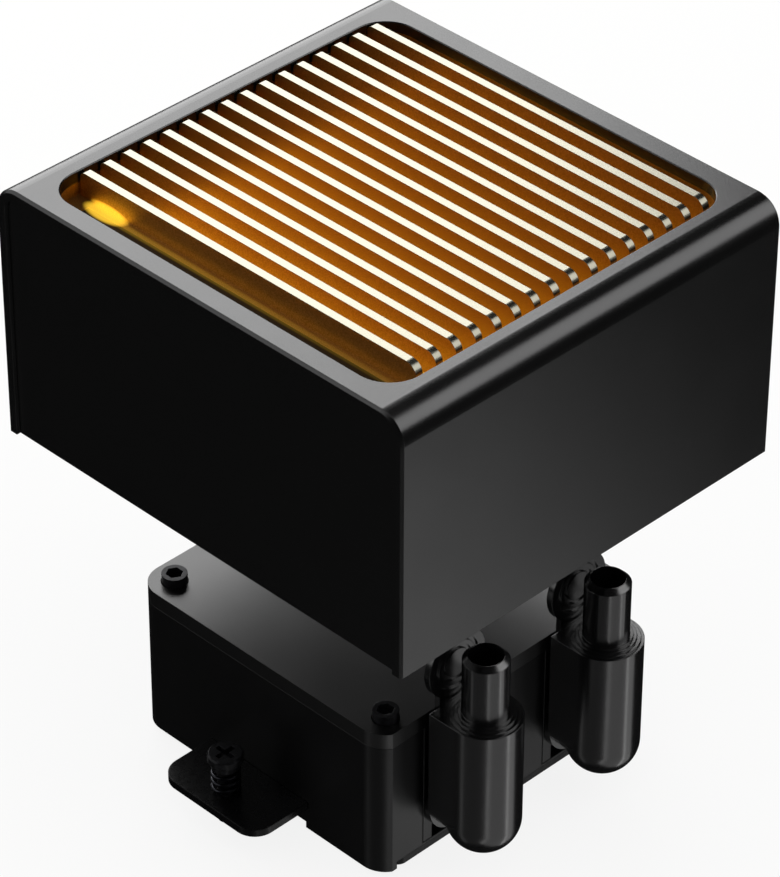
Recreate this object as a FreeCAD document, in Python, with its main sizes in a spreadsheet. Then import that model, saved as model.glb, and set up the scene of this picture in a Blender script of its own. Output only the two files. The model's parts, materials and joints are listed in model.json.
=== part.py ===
"""Pump head of a liquid cooler for a processor: a square pump block on a copper cold plate, two swivel
hose elbows, two spring-screw tabs, and a square cap with a finned window that lifts off the block.

The origin is the centre of the cold plate's contact face. +Z is up, +X is the side with the hose elbows
and -Y is the front. Lengths are in millimetres.
"""
import FreeCAD, Part
import math
import os
import Sketcher

Vector = FreeCAD.Vector

# Driving dimensions: name, value and meaning.
SIZES = [
    ("cap_width", 92.6, "cap across X"),
    ("cap_depth", 85.7, "cap across Y"),
    ("cap_height", 49.3, "cap from its open rim to its top"),
    ("cap_rim_level", 60.9, "height of the lifted cap's rim"),
    ("cap_travel", 40.7, "how far the cap comes down to sit on the block"),
    ("cap_sheet", 2.0, "sheet of the folded cap"),
    ("cap_bend", 4.8, "outer radius of the cap's two bends"),
    ("cap_edge", 0.45, "bright chamfer along the cap's edges"),
    ("panel_sheet", 2.0, "sheet of the cap's end panels"),
    ("panel_set_back", 0.8, "end panel behind the folded sheet's edge"),
    ("slip", 0.1, "clearance of pieces that slide together"),
    ("window_side_border", 7.0, "cap's top left and right of its window"),
    ("window_front_border", 4.25, "cap's top before its window"),
    ("window_rear_border", 4.3, "cap's top behind its window"),
    ("window_corner", 6.2, "corner radius of the window"),
    ("window_edge", 0.15, "fine break of the window's edge"),
    ("fin_count", 16, "blades of the grille"),
    ("fin_sheet", 1.46, "thickness of a blade"),
    ("fin_tall", 4.6, "blade above the tray's floor"),
    ("fin_front_gap", 7.5, "open trough before the first blade"),
    ("fin_rear_gap", 3.25, "open trough behind the last blade"),
    ("fin_left_gap", 0.3, "blades' left ends from the window's wall"),
    ("fin_right_gap", 1.8, "blades' right ends from the window's wall"),
    ("fin_left_round", 1.2, "rounding at the blades' left ends"),
    ("fin_right_round", 2.2, "rounding at the blades' right ends"),
    ("tray_floor", 1.6, "floor of the grille's tray"),
    ("tray_rim", 1.6, "rim of the grille's tray beyond the window"),
    ("light_slot_inset", 3.9, "ends of the light slots from the window's walls"),
    ("light_slot_front", 4.4, "width of the front light slot"),
    ("light_slot_rear", 1.6, "width of the rear light slot"),
    ("diffuser_sheet", 1.4, "light diffuser's plate"),
    ("carrier_wall", 2.2, "wall of the cap's inner carrier"),
    ("carrier_gap", 0.2, "carrier to the cap's walls"),
    ("carrier_tall", 15.3, "carrier's wall, from its web's underside to the diffuser"),
    ("carrier_web", 2.0, "carrier's web above the block"),
    ("carrier_ledge", 2.0, "ledge that carries the light board"),
    ("carrier_corner", 3.0, "corner radius of the carrier"),
    ("board_sheet", 1.4, "circuit boards"),
    ("light_board_drop", 3.5, "light board's underside below the diffuser"),
    ("light_chip", 3.0, "side of a light chip"),
    ("light_chip_tall", 0.9, "height of a light chip"),
    ("light_chip_rows", 7, "light chips in a row"),
    ("light_chip_inset", 8.8, "end chips from the light board's ends"),
    ("post_place", 18.0, "docking posts from the centre, along X and Y"),
    ("post_radius", 4.0, "docking posts"),
    ("magnet_radius", 3.0, "docking magnets"),
    ("magnet_tall", 2.1, "docking magnets"),
    ("block_side", 60.5, "pump block across X and Y"),
    ("block_corner", 5.1, "corner radius of the block"),
    ("port_face_cut", 0.75, "flat port face inside the block's square, along X"),
    ("block_bottom", 1.25, "block's lower rim above the contact face"),
    ("block_top", 31.0, "top of the block"),
    ("lid_sheet", 3.0, "block's lid"),
    ("lid_screw_edge", 4.75, "lid screws from the block's sides"),
    ("lid_screw_head", 2.25, "radius of a lid screw's head"),
    ("lid_screw_head_tall", 2.5, "height of a lid screw's head"),
    ("lid_screw_sunk", 0.8, "lid screw's head below the lid's top"),
    ("lid_screw_shank", 1.25, "radius of a lid screw's shank"),
    ("lid_screw_long", 10.0, "lid screw's shank"),
    ("lid_screw_socket", 1.53, "hexagon socket, centre to corner"),
    ("lid_screw_socket_deep", 1.3, "depth of the hexagon socket"),
    ("screw_gap", 0.15, "screws in their clearance holes"),
    ("flange_clear", 2.0, "cold plate's flange inside the base screws' centres"),
    ("flange_lip", 1.4, "cold plate's flange beyond its contact face"),
    ("flange_tall", 2.0, "thickness of the cold plate's flange"),
    ("plate_corner", 2.5, "corner radius of the cold plate"),
    ("micro_fin_count", 28, "fine fins on the cold plate"),
    ("micro_fin_pitch", 1.0, "spacing of the fine fins"),
    ("micro_fin_sheet", 0.5, "thickness of a fine fin"),
    ("micro_fin_long", 28.0, "length of a fine fin"),
    ("micro_fin_tall", 3.2, "height of a fine fin"),
    ("gasket_width", 2.1, "width of the cold plate's gasket"),
    ("gasket_tall", 0.7, "thickness of the cold plate's gasket"),
    ("gasket_inset", 0.1, "gasket inside the flange's edge"),
    ("gasket_corner", 1.25, "inner corner radius of the gasket"),
    ("base_sheet", 1.5, "steel base plate"),
    ("base_rim", 3.65, "block's rim beside the base plate"),
    ("base_corner", 2.0, "corner radius of the base plate"),
    ("base_screw_edge", 1.7, "base screws from the base plate's edge"),
    ("base_screw_head", 1.4, "radius of a base screw's head"),
    ("base_screw_head_tall", 0.9, "height of a base screw's head"),
    ("base_screw_shank", 0.8, "radius of a base screw's shank"),
    ("base_screw_long", 6.0, "base screw from head to tip"),
    ("jet_clear", 0.4, "jet plate from the elbows' spigots"),
    ("jet_sheet", 1.0, "thickness of the jet plate"),
    ("jet_gap", 0.1, "jet plate above the fine fins"),
    ("jet_slot_place", 8.0, "jet slots from the centre, along X"),
    ("jet_slot_wide", 2.4, "width of a jet slot"),
    ("jet_slot_long", 24.0, "length of a jet slot"),
    ("chamber_radius", 17.5, "pump chamber"),
    ("divider_bottom", 19.8, "underside of the divider between pump and motor"),
    ("divider_sheet", 1.4, "thickness of that divider"),
    ("motor_wall", 8.75, "block's wall round the motor room"),
    ("motor_room_corner", 4.0, "corner radius of the motor room"),
    ("shaft_radius", 1.2, "ceramic pump shaft"),
    ("shaft_boss_radius", 2.6, "bosses that hold the shaft"),
    ("shaft_boss_tall", 0.9, "height of those bosses"),
    ("shaft_seat", 0.7, "shaft's ends in their seats"),
    ("running_gap", 0.05, "bush on the shaft"),
    ("bush_wall", 0.6, "wall of the impeller's bush"),
    ("washer_tall", 0.2, "thrust washers"),
    ("impeller_hub", 3.4, "radius of the impeller's hub"),
    ("impeller_radius", 13.0, "radius of the impeller's disc"),
    ("impeller_disc", 1.0, "thickness of the impeller's disc"),
    ("blade_count", 7, "impeller's blades"),
    ("blade_sheet", 1.0, "thickness of a blade of the impeller"),
    ("blade_tall", 2.8, "height of a blade of the impeller"),
    ("blade_root", 2.7, "inner end of an impeller blade"),
    ("blade_bend", 6.6, "bend of an impeller blade"),
    ("blade_tip", 10.4, "outer end of an impeller blade"),
    ("blade_sweep", 2.0, "sweep of an impeller blade at its bend"),
    ("rotor_outer", 10.5, "outer radius of the magnet ring"),
    ("rotor_tall", 3.0, "height of the magnet ring"),
    ("yoke_outer", 16.5, "outer radius of the stator"),
    ("yoke_inner", 13.5, "inner radius of the stator's ring"),
    ("tooth_count", 6, "stator's teeth"),
    ("tooth_wide", 2.6, "width of a stator tooth"),
    ("tooth_inner", 4.5, "inner end of a stator tooth"),
    ("stator_tall", 2.6, "stator's stack"),
    ("coil_wall", 0.9, "copper round a tooth"),
    ("coil_long", 5.6, "length of a coil along its tooth"),
    ("coil_inner", 6.6, "inner end of a coil"),
    ("coil_gap", 0.05, "coil to its tooth"),
    ("board_gap", 0.7, "control board from the motor room's walls"),
    ("board_level", 25.8, "underside of the control board"),
    ("board_post_place", 18.0, "posts under the control board"),
    ("board_post_radius", 1.8, "posts under the control board"),
    ("inlet_wide", 8.0, "power socket across Y"),
    ("inlet_tall", 3.4, "power socket's height"),
    ("inlet_long", 9.6, "power socket along X"),
    ("inlet_wall", 0.8, "power socket's wall"),
    ("port_place", 14.45, "ports from the centre, along Y"),
    ("port_level", 10.8, "height of the ports"),
    ("bore_radius", 4.4, "port bore in the block"),
    ("bore_beyond", 3.9, "port bore beyond the spigot's end"),
    ("collar_room", 5.2, "radius of the room for the spigot's collar"),
    ("retainer_wide", 12.14, "port retainer across Y"),
    ("retainer_sheet", 2.5, "thickness of a port retainer"),
    ("retainer_bottom", 3.3, "lower edge of a port retainer"),
    ("seam", 0.12, "hairline round a retainer"),
    ("spigot_radius", 4.3, "elbow's spigot in the bore"),
    ("spigot_long", 10.6, "spigot from the port face to its inner end"),
    ("spigot_neck", 3.9, "spigot through the retainer"),
    ("spigot_collar", 5.0, "collar behind the retainer"),
    ("spigot_collar_wide", 1.9, "thickness of that collar"),
    ("seal_count", 2, "seals on a spigot"),
    ("seal_pitch", 2.6, "spacing of the seals"),
    ("seal_section", 0.7, "radius of a seal's section"),
    ("groove_wide", 1.6, "seal groove along the spigot"),
    ("groove_radius", 2.9, "bottom of a seal groove"),
    ("elbow_radius", 6.5, "elbow's barrel"),
    ("elbow_clear", 1.5, "elbow's flat back from the port face"),
    ("elbow_back_bottom", 9.8, "lower end of the flat back"),
    ("elbow_back_round", 1.7, "rounding under the flat back"),
    ("elbow_top", 32.2, "top of the barrel"),
    ("elbow_flange", 6.0, "round flange on the port face"),
    ("elbow_neck", 5.2, "neck between flange and barrel"),
    ("ring_outer", 5.9, "first ring on the barrel's top"),
    ("ring_middle", 5.2, "second ring on the barrel's top"),
    ("ring_inner", 4.6, "third ring on the barrel's top"),
    ("ring_step", 0.32, "height of a ring on the barrel's top"),
    ("stub_radius", 4.0, "hose stub"),
    ("stub_top", 44.8, "top of the hose stub"),
    ("stub_edge", 0.9, "chamfer of the hose stub"),
    ("stub_bore", 3.0, "bore of the hose stub"),
    ("passage_bore", 2.2, "bore of the spigot"),
    ("key_clear", 0.3, "round key plate from the port face"),
    ("key_radius", 6.5, "round head of the key plate"),
    ("key_level", 39.4, "centre of the round head"),
    ("key_tongue", 4.0, "half width of the key plate's tongue"),
    ("key_bottom", 25.5, "lower end of the tongue"),
    ("key_groove_deep", 0.35, "ring grooves in the key plate"),
    ("key_ring_outer", 4.95, "outer ring of the key plate"),
    ("key_ring_inner", 3.4, "inner ring of the key plate"),
    ("key_groove_wide", 0.7, "width of the ring grooves"),
    ("tab_sheet", 1.5, "mounting tabs"),
    ("tab_level", 5.6, "underside of the mounting tabs"),
    ("tab_half", 11.8, "half width of a mounting tab"),
    ("tab_reach", 12.45, "mounting tab beyond the block"),
    ("tab_wall", 0.7, "wall between the base screws and a mounting tab"),
    ("tab_corner", 4.0, "corner radius of a mounting tab"),
    ("tab_gap", 0.05, "tab in its slot"),
    ("notch_half", 11.3, "half width of the notch under a tab"),
    ("notch_tall", 1.3, "height of that notch"),
    ("tab_screw_place", 7.0, "tab screws from the centre, along X"),
    ("tab_screw_edge", 2.0, "tab screws from the tab's inner edge"),
    ("mount_edge", 4.7, "spring screws from the tab's outer edge"),
    ("mount_hole", 1.7, "radius of a spring screw's hole"),
    ("mount_shank", 1.5, "radius of a spring screw's shank"),
    ("mount_tip", 1.0, "lower end of a spring screw"),
    ("mount_collar", 2.52, "radius of a spring screw's collar"),
    ("mount_collar_level", 12.7, "underside of that collar"),
    ("mount_head", 3.1, "radius of a spring screw's head"),
    ("mount_head_tall", 1.4, "height of a spring screw's head"),
    ("mount_top", 15.6, "top of a spring screw"),
    ("mount_cross_long", 3.8, "length of the cross recess"),
    ("mount_cross_wide", 0.9, "width of the cross recess"),
    ("mount_cross_deep", 1.0, "depth of the cross recess"),
    ("clip_radius", 3.0, "retaining clip"),
    ("clip_sheet", 0.6, "thickness of the retaining clip"),
    ("clip_gap", 0.2, "clip below the tab"),
    ("clip_groove", 1.2, "radius of the clip's groove"),
    ("spring_wire", 0.35, "radius of the spring's wire"),
    ("spring_radius", 2.25, "radius of the spring's coil"),
    ("spring_turns", 3.4, "turns of the spring"),
]


class Measure:
    """A length together with the sheet formula that it follows."""

    def __init__(self, formula, now):
        self.formula = formula
        self.now = now

    def __add__(self, other):
        other = measure(other)
        return Measure("(%s + %s)" % (self.formula, other.formula), self.now + other.now)

    def __sub__(self, other):
        other = measure(other)
        return Measure("(%s - %s)" % (self.formula, other.formula), self.now - other.now)

    def __mul__(self, other):
        other = measure(other)
        return Measure("(%s * %s)" % (self.formula, other.formula), self.now * other.now)

    def __truediv__(self, other):
        other = measure(other)
        return Measure("(%s / %s)" % (self.formula, other.formula), self.now / other.now)

    def __radd__(self, other):
        return measure(other) + self

    def __rsub__(self, other):
        return measure(other) - self

    def __rmul__(self, other):
        return measure(other) * self

    def __neg__(self):
        return measure(0) - self


def measure(value):
    """A plain number or a Measure, as a Measure."""
    if isinstance(value, Measure):
        return value
    return Measure("%r" % float(value), float(value))


doc = FreeCAD.newDocument("pump_head")
sheet = doc.addObject("Spreadsheet::Sheet", "Sizes")
size = {}
for line, (alias, value, meaning) in enumerate(SIZES, 1):
    sheet.set("A%d" % line, meaning)
    sheet.set("B%d" % line, str(value))
    sheet.setAlias("B%d" % line, alias)
    size[alias] = Measure("Sizes." + alias, float(value))
doc.recompute()

# Every sub-part that is written out, by its name.
nodes = {}


def keep(name, piece):
    """Register a finished sub-part under its name."""
    piece.Label = name
    nodes[name] = piece
    return piece


def follow(piece, **lengths):
    """Bind properties of a piece to their formulas."""
    for name, length in lengths.items():
        piece.setExpression(name, measure(length).formula)


def place(piece, x=0, y=0, z=0):
    """Bind a piece's position to formulas."""
    for axis, length in (("x", x), ("y", y), ("z", z)):
        piece.setExpression("Placement.Base." + axis, measure(length).formula)


# Solids made from primitives.

def box(name, low, high):
    """A block between two corners, each given as x, y, z."""
    piece = doc.addObject("Part::Box", name)
    spans = [measure(top) - bottom for bottom, top in zip(low, high)]
    follow(piece, Length=spans[0], Width=spans[1], Height=spans[2])
    place(piece, *low)
    return piece


UPRIGHT = FreeCAD.Rotation()
ALONG_X = FreeCAD.Rotation(Vector(0, 1, 0), 90)


def cylinder(name, radius, start, length, turn=UPRIGHT):
    """A round bar from its start point, upright unless turned."""
    piece = doc.addObject("Part::Cylinder", name)
    piece.Placement.Rotation = turn
    follow(piece, Radius=radius, Height=length)
    place(piece, *start)
    return piece


def fuse(name, pieces):
    piece = doc.addObject("Part::MultiFuse", name)
    piece.Shapes = pieces
    return piece


def cut(name, base, tools):
    """Base with each tool taken out of it."""
    piece = doc.addObject("Part::Cut", name)
    piece.Base = base
    piece.Tool = tools[0] if len(tools) == 1 else fuse(name + "_tools", tools)
    return piece


def group(name, pieces):
    """Separate solids kept as one sub-part, such as a set of screws."""
    piece = doc.addObject("Part::Compound", name)
    piece.Links = pieces
    return piece


# Sketches and features of a body.

def origin_item(body, role):
    return [item for item in body.Origin.OriginFeatures if item.Role == role][0]


def new_sketch(body, name, plane, level):
    """A sketch on a plane of the body's own origin, moved along the plane's normal by level."""
    sketch = body.newObject("Sketcher::SketchObject", name)
    sketch.AttachmentSupport = [(origin_item(body, plane), "")]
    sketch.MapMode = "FlatFace"
    sketch.setExpression("AttachmentOffset.Base.z", measure(level).formula)
    return sketch


def fix_point(sketch, item, end, point):
    """Hold one point of a sketch at a place given by formulas."""
    for kind, length in zip(("DistanceX", "DistanceY"), point):
        index = sketch.addConstraint(Sketcher.Constraint(kind, -1, 1, item, end, length.now))
        sketch.setExpression("Constraints[%d]" % index, length.formula)


def fix_radius(sketch, item, radius):
    index = sketch.addConstraint(Sketcher.Constraint("Radius", item, radius.now))
    sketch.setExpression("Constraints[%d]" % index, radius.formula)


def step_towards(corner, other, radius):
    """The point where a corner's rounding meets the run towards another corner."""
    point = []
    for here, there in zip(corner, other):
        change = there.now - here.now
        if abs(change) < 1e-9:
            point.append(here)
        else:
            point.append(here + radius if change > 0 else here - radius)
    return point


def numbers(point):
    return Vector(point[0].now, point[1].now, 0)


def arc_between(start, end, corner):
    """A quarter round inside a corner, as a sketch arc, and whether it runs backwards."""
    centre = numbers(start) + numbers(end) - numbers(corner)
    first = numbers(start) - centre
    last = numbers(end) - centre
    backwards = first.cross(last).z < 0
    if backwards:
        first, last = last, first
    begin = math.atan2(first.y, first.x)
    finish = math.atan2(last.y, last.x)
    if finish < begin:
        finish += 2 * math.pi
    circle = Part.Circle(centre, Vector(0, 0, 1), first.Length)
    return Part.ArcOfCircle(circle, begin, finish), backwards


def outline(body, name, plane, corners, level=0):
    """A closed outline. A corner is x, y and, between a level and an upright run, a radius."""
    sketch = new_sketch(body, name, plane, level)
    corners = [[measure(value) for value in corner] for corner in corners]
    stops = []
    for index, corner in enumerate(corners):
        here = corner[:2]
        if len(corner) == 2:
            stops.append((here, here))
            continue
        before = corners[index - 1][:2]
        after = corners[(index + 1) % len(corners)][:2]
        stops.append((step_towards(here, before, corner[2]), step_towards(here, after, corner[2])))
    items = []
    for index, (start, end) in enumerate(stops):
        if start is not end:
            arc, backwards = arc_between(start, end, corners[index][:2])
            item = sketch.addGeometry(arc, False)
            fix_radius(sketch, item, corners[index][2])
            items.append((item, 2 if backwards else 1, 1 if backwards else 2, start))
        following = stops[(index + 1) % len(stops)][0]
        if (numbers(following) - numbers(end)).Length > 1e-6:
            run = Part.LineSegment(numbers(end), numbers(following))
            items.append((sketch.addGeometry(run, False), 1, 2, end))
    for index, (item, first, last, point) in enumerate(items):
        previous = items[index - 1]
        sketch.addConstraint(Sketcher.Constraint("Coincident", previous[0], previous[2], item, first))
        fix_point(sketch, item, first, point)
    return sketch


def circles(body, name, plane, places, radius, level=0):
    """Equal circles at the given places."""
    sketch = new_sketch(body, name, plane, level)
    for spot in places:
        spot = [measure(value) for value in spot]
        item = sketch.addGeometry(Part.Circle(numbers(spot), Vector(0, 0, 1), measure(radius).now), False)
        fix_point(sketch, item, 3, spot)
        fix_radius(sketch, item, measure(radius))
    return sketch


def new_body(name):
    return doc.addObject("PartDesign::Body", name)


def feature(body, kind, sketch):
    made = body.newObject("PartDesign::" + kind, sketch.Name + "_" + kind.lower())
    made.Profile = (sketch, [""])
    return made


def pad(body, sketch, length, both_ways=False):
    made = feature(body, "Pad", sketch)
    made.Midplane = both_ways
    follow(made, Length=length)
    doc.recompute()
    return made


def pocket(body, sketch, depth):
    """Take the outline out of the body, from the sketch downwards."""
    before = body.Shape.Volume
    made = feature(body, "Pocket", sketch)
    follow(made, Length=depth)
    doc.recompute()
    if body.Shape.Volume > before - 1e-6:
        raise RuntimeError("nothing was cut by " + made.Name)
    return made


def revolve(body, sketch, axis):
    made = feature(body, "Revolution", sketch)
    made.ReferenceAxis = (sketch, [axis])
    made.Angle = 360
    doc.recompute()
    return made


def repeat_along(body, original, axis, pitch, count):
    """Copies of a feature in a straight row."""
    made = body.newObject("PartDesign::LinearPattern", original.Name + "_row")
    made.Originals = [original]
    made.Direction = (origin_item(body, axis), [""])
    follow(made, Length=pitch * (count - 1), Occurrences=count)
    body.Tip = made
    doc.recompute()
    return made


def repeat_round(body, original, count):
    """Copies of a feature round the body's upright axis."""
    made = body.newObject("PartDesign::PolarPattern", original.Name + "_round")
    made.Originals = [original]
    made.Axis = (origin_item(body, "Z_Axis"), [""])
    made.Angle = 360
    follow(made, Occurrences=count)
    body.Tip = made
    doc.recompute()
    return made


def dress_edges(body, kind, base, length, chosen):
    """Chamfer or fillet the edges whose middle point passes the test."""
    names = []
    for number, edge in enumerate(base.Shape.Edges, 1):
        middle = edge.valueAt((edge.FirstParameter + edge.LastParameter) / 2)
        if chosen(middle, edge):
            names.append("Edge%d" % number)
    made = body.newObject("PartDesign::" + kind, base.Name + "_" + kind.lower())
    made.Base = (base, names)
    follow(made, **{"Size" if kind == "Chamfer" else "Radius": length})
    doc.recompute()
    return made


def subtract_cylinder(body, name, radius, start, length, turn=UPRIGHT):
    """A round bore in a body."""
    made = body.newObject("PartDesign::SubtractiveCylinder", name)
    made.Placement.Rotation = turn
    follow(made, Radius=radius, Height=length)
    place(made, *start)
    doc.recompute()
    return made


def rounded(half_x, half_y, radius, shift_y=0):
    """Corners of a rounded rectangle about the centre."""
    low = shift_y - half_y
    high = shift_y + half_y
    return [(-half_x, low, radius), (half_x, low, radius), (half_x, high, radius), (-half_x, high, radius)]


def four(reach):
    """Places at the four corners of a square about the centre."""
    return [(x * reach, y * reach) for x in (-1, 1) for y in (-1, 1)]


def near(first, second):
    return abs(first - second) < 1e-4


# Levels and reaches shared by several pieces.

cap_half_x = size["cap_width"] / 2
cap_half_y = size["cap_depth"] / 2
cap_top = size["cap_rim_level"] + size["cap_height"]
cap_ceiling = cap_top - size["cap_sheet"]
cap_inside_x = cap_half_x - size["cap_sheet"]
panel_outside = cap_half_y - size["panel_set_back"]
panel_inside = panel_outside - size["panel_sheet"]
tray_level = cap_top - size["fin_tall"]
tray_bottom = tray_level - size["tray_floor"]
tray_half_y = panel_inside - size["carrier_gap"]
window_half_x = cap_half_x - size["window_side_border"]
window_front = size["window_front_border"] - cap_half_y
window_rear = cap_half_y - size["window_rear_border"]
window_half_y = (window_rear - window_front) / 2
window_shift = (window_rear + window_front) / 2
tray_half_x = window_half_x + size["tray_rim"]
fin_first = window_front + size["fin_front_gap"] + size["fin_sheet"] / 2
fin_last = window_rear - size["fin_rear_gap"] - size["fin_sheet"] / 2
fin_pitch = (fin_last - fin_first) / (size["fin_count"] - 1)
light_slot_half = window_half_x - size["light_slot_inset"]
carrier_top = tray_bottom - size["diffuser_sheet"]
carrier_bottom = carrier_top - size["carrier_tall"]
carrier_half_x = cap_inside_x - size["carrier_gap"]
carrier_half_y = panel_inside - size["carrier_gap"]
light_board_level = carrier_top - size["light_board_drop"]
post_bottom = size["block_top"] + size["cap_travel"]
block_half = size["block_side"] / 2
block_flat = block_half - size["port_face_cut"]
lid_screw_place = block_half - size["lid_screw_edge"]
motor_half = block_half - size["motor_wall"]
lid_bottom = size["block_top"] - size["lid_sheet"]
base_top = size["block_bottom"] + size["base_sheet"]
base_half = block_half - size["base_rim"]
base_screw_reach = base_half - size["base_screw_edge"]
flange_top = base_top + size["flange_tall"]
flange_half = base_screw_reach - size["flange_clear"]
contact_half = flange_half - size["flange_lip"]
ledge_level = flange_top + size["gasket_tall"]
jet_bottom = flange_top + size["micro_fin_tall"] + size["jet_gap"]
jet_top = jet_bottom + size["jet_sheet"]
divider_top = size["divider_bottom"] + size["divider_sheet"]
lower_boss_top = jet_top + size["shaft_boss_tall"]
upper_boss_bottom = size["divider_bottom"] - size["shaft_boss_tall"]
bush_bottom = lower_boss_top + size["washer_tall"]
bush_top = upper_boss_bottom - size["washer_tall"]
retainer_back = block_flat - size["retainer_sheet"]
spigot_end = block_flat - size["spigot_long"]
bore_end = spigot_end - size["bore_beyond"]
jet_half = spigot_end - size["jet_clear"]
tab_inner = base_screw_reach + size["base_screw_shank"] + size["tab_wall"]
tab_screw_reach = tab_inner + size["tab_screw_edge"]
tab_outer = block_half + size["tab_reach"]
mount_reach = tab_outer - size["mount_edge"]
elbow_back = block_flat + size["elbow_clear"]
elbow_axis = elbow_back + size["elbow_radius"]
key_back = block_flat + size["key_clear"]
collar_room_back = retainer_back - size["spigot_collar_wide"] - 2 * size["slip"]


def front_slot(half_width_gap):
    """The front light slot's span along Y, widened or narrowed by a gap."""
    middle = (window_front + fin_first - size["fin_sheet"] / 2) / 2
    half = size["light_slot_front"] / 2 + half_width_gap
    return middle - half, middle + half


def rear_slot(half_width_gap):
    """The rear light slot's span along Y, widened or narrowed by a gap."""
    middle = (window_rear + fin_last + size["fin_sheet"] / 2) / 2
    half = size["light_slot_rear"] / 2 + half_width_gap
    return middle - half, middle + half


# The cap.

def cap_wrap():
    """One folded sheet: the top with the fins' window, and a leg on the left and on the right."""
    body = new_body("cap_wrap")
    bend = size["cap_bend"]
    inner_bend = bend - size["cap_sheet"]
    rim = size["cap_rim_level"]
    profile = outline(body, "wrap_profile", "XZ_Plane", [
        (-cap_half_x, rim), (-cap_inside_x, rim),
        (-cap_inside_x, cap_ceiling, inner_bend), (cap_inside_x, cap_ceiling, inner_bend),
        (cap_inside_x, rim), (cap_half_x, rim),
        (cap_half_x, cap_top, bend), (-cap_half_x, cap_top, bend)])
    folded = pad(body, profile, size["cap_depth"], both_ways=True)

    def outer_edge(middle, edge):
        if not near(abs(middle.y), cap_half_y.now):
            return False
        side = abs(middle.x) - (cap_half_x - bend).now
        rise = middle.z - (cap_top - bend).now
        on_bend = side > 1e-4 and rise > 1e-4 and near(math.hypot(side, rise), bend.now)
        return on_bend or near(abs(middle.x), cap_half_x.now) or near(middle.z, cap_top.now)

    dress_edges(body, "Chamfer", folded, size["cap_edge"], outer_edge)
    window = outline(body, "window", "XY_Plane",
                     rounded(window_half_x, window_half_y, size["window_corner"], window_shift),
                     cap_top)
    opened = pocket(body, window, size["cap_sheet"] + size["slip"])

    def window_edge(middle, edge):
        inside_x = abs(middle.x) < window_half_x.now + 1e-4
        inside_y = abs(middle.y - window_shift.now) < window_half_y.now + 1e-4
        return near(middle.z, cap_top.now) and inside_x and inside_y

    dress_edges(body, "Chamfer", opened, size["window_edge"], window_edge)
    keep("cap_wrap", body)


def cap_panel(name, side):
    """An end panel between the folded sheet's legs, set back from its edge."""
    body = new_body(name)
    half = cap_inside_x - size["slip"]
    corner = size["cap_bend"] - size["cap_sheet"]
    rim = size["cap_rim_level"]
    profile = outline(body, name + "_profile", "XZ_Plane",
                      [(-half, rim), (half, rim), (half, cap_ceiling, corner), (-half, cap_ceiling, corner)],
                      -side * (panel_outside + panel_inside) / 2)
    pad(body, profile, size["panel_sheet"], both_ways=True)
    keep(name, body)


def window_surround():
    """What lies round the window at the cap sheet's height, down to the tray's rim."""
    body = new_body("window_surround")
    ring = outline(body, "surround_outer", "XY_Plane",
                   rounded(cap_half_x, cap_half_y, size["window_corner"]), cap_ceiling)
    pad(body, ring, size["cap_sheet"])
    opening = outline(body, "surround_inner", "XY_Plane",
                      rounded(window_half_x - size["slip"], window_half_y - size["slip"],
                              size["window_corner"], window_shift), cap_top)
    pocket(body, opening, size["cap_sheet"])
    return body


def fin_grille():
    """A milled block: a tray behind the window, and upright blades with rounded ends on its floor."""
    body = new_body("fin_grille")
    corner = size["window_corner"] + size["tray_rim"]
    tray = outline(body, "tray", "XY_Plane", rounded(tray_half_x, tray_half_y, corner), tray_bottom)
    pad(body, tray, cap_ceiling - tray_bottom)
    well = outline(body, "tray_well", "XY_Plane",
                   rounded(window_half_x + size["slip"], window_half_y + size["slip"],
                           size["window_corner"], window_shift), cap_ceiling)
    pocket(body, well, cap_ceiling - tray_level)
    for name, span in (("front_light_slot", front_slot(0)), ("rear_light_slot", rear_slot(0))):
        slot = outline(body, name, "XY_Plane",
                       [(-light_slot_half, span[0]), (light_slot_half, span[0]),
                        (light_slot_half, span[1]), (-light_slot_half, span[1])], tray_level)
        pocket(body, slot, size["tray_floor"])
    left = size["fin_left_gap"] - window_half_x
    right = window_half_x - size["fin_right_gap"]
    root = tray_level - size["tray_floor"] / 2
    blade = outline(body, "blade", "XZ_Plane", [
        (left, root), (right, root), (right, cap_top, size["fin_right_round"]),
        (left, cap_top, size["fin_left_round"])], -fin_first)
    first = pad(body, blade, size["fin_sheet"], both_ways=True)
    repeat_along(body, first, "Y_Axis", fin_pitch, size["fin_count"])
    keep("fin_grille", cut("fin_grille_cut", body, [window_surround()]))


def light_diffuser():
    """An amber plate under the tray, with two bars that stand up into the light slots."""
    body = new_body("light_diffuser")
    plate = outline(body, "diffuser_plate", "XY_Plane",
                    rounded(tray_half_x, tray_half_y, size["carrier_corner"]), carrier_top)
    pad(body, plate, size["diffuser_sheet"])
    half = light_slot_half - size["slip"]
    for name, span in (("front_bar", front_slot(-size["slip"])), ("rear_bar", rear_slot(-size["slip"]))):
        bar = outline(body, name, "XY_Plane",
                      [(-half, span[0]), (half, span[0]), (half, span[1]), (-half, span[1])],
                      carrier_top)
        pad(body, bar, size["diffuser_sheet"] + size["tray_floor"])
    keep("light_diffuser", body)


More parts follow.
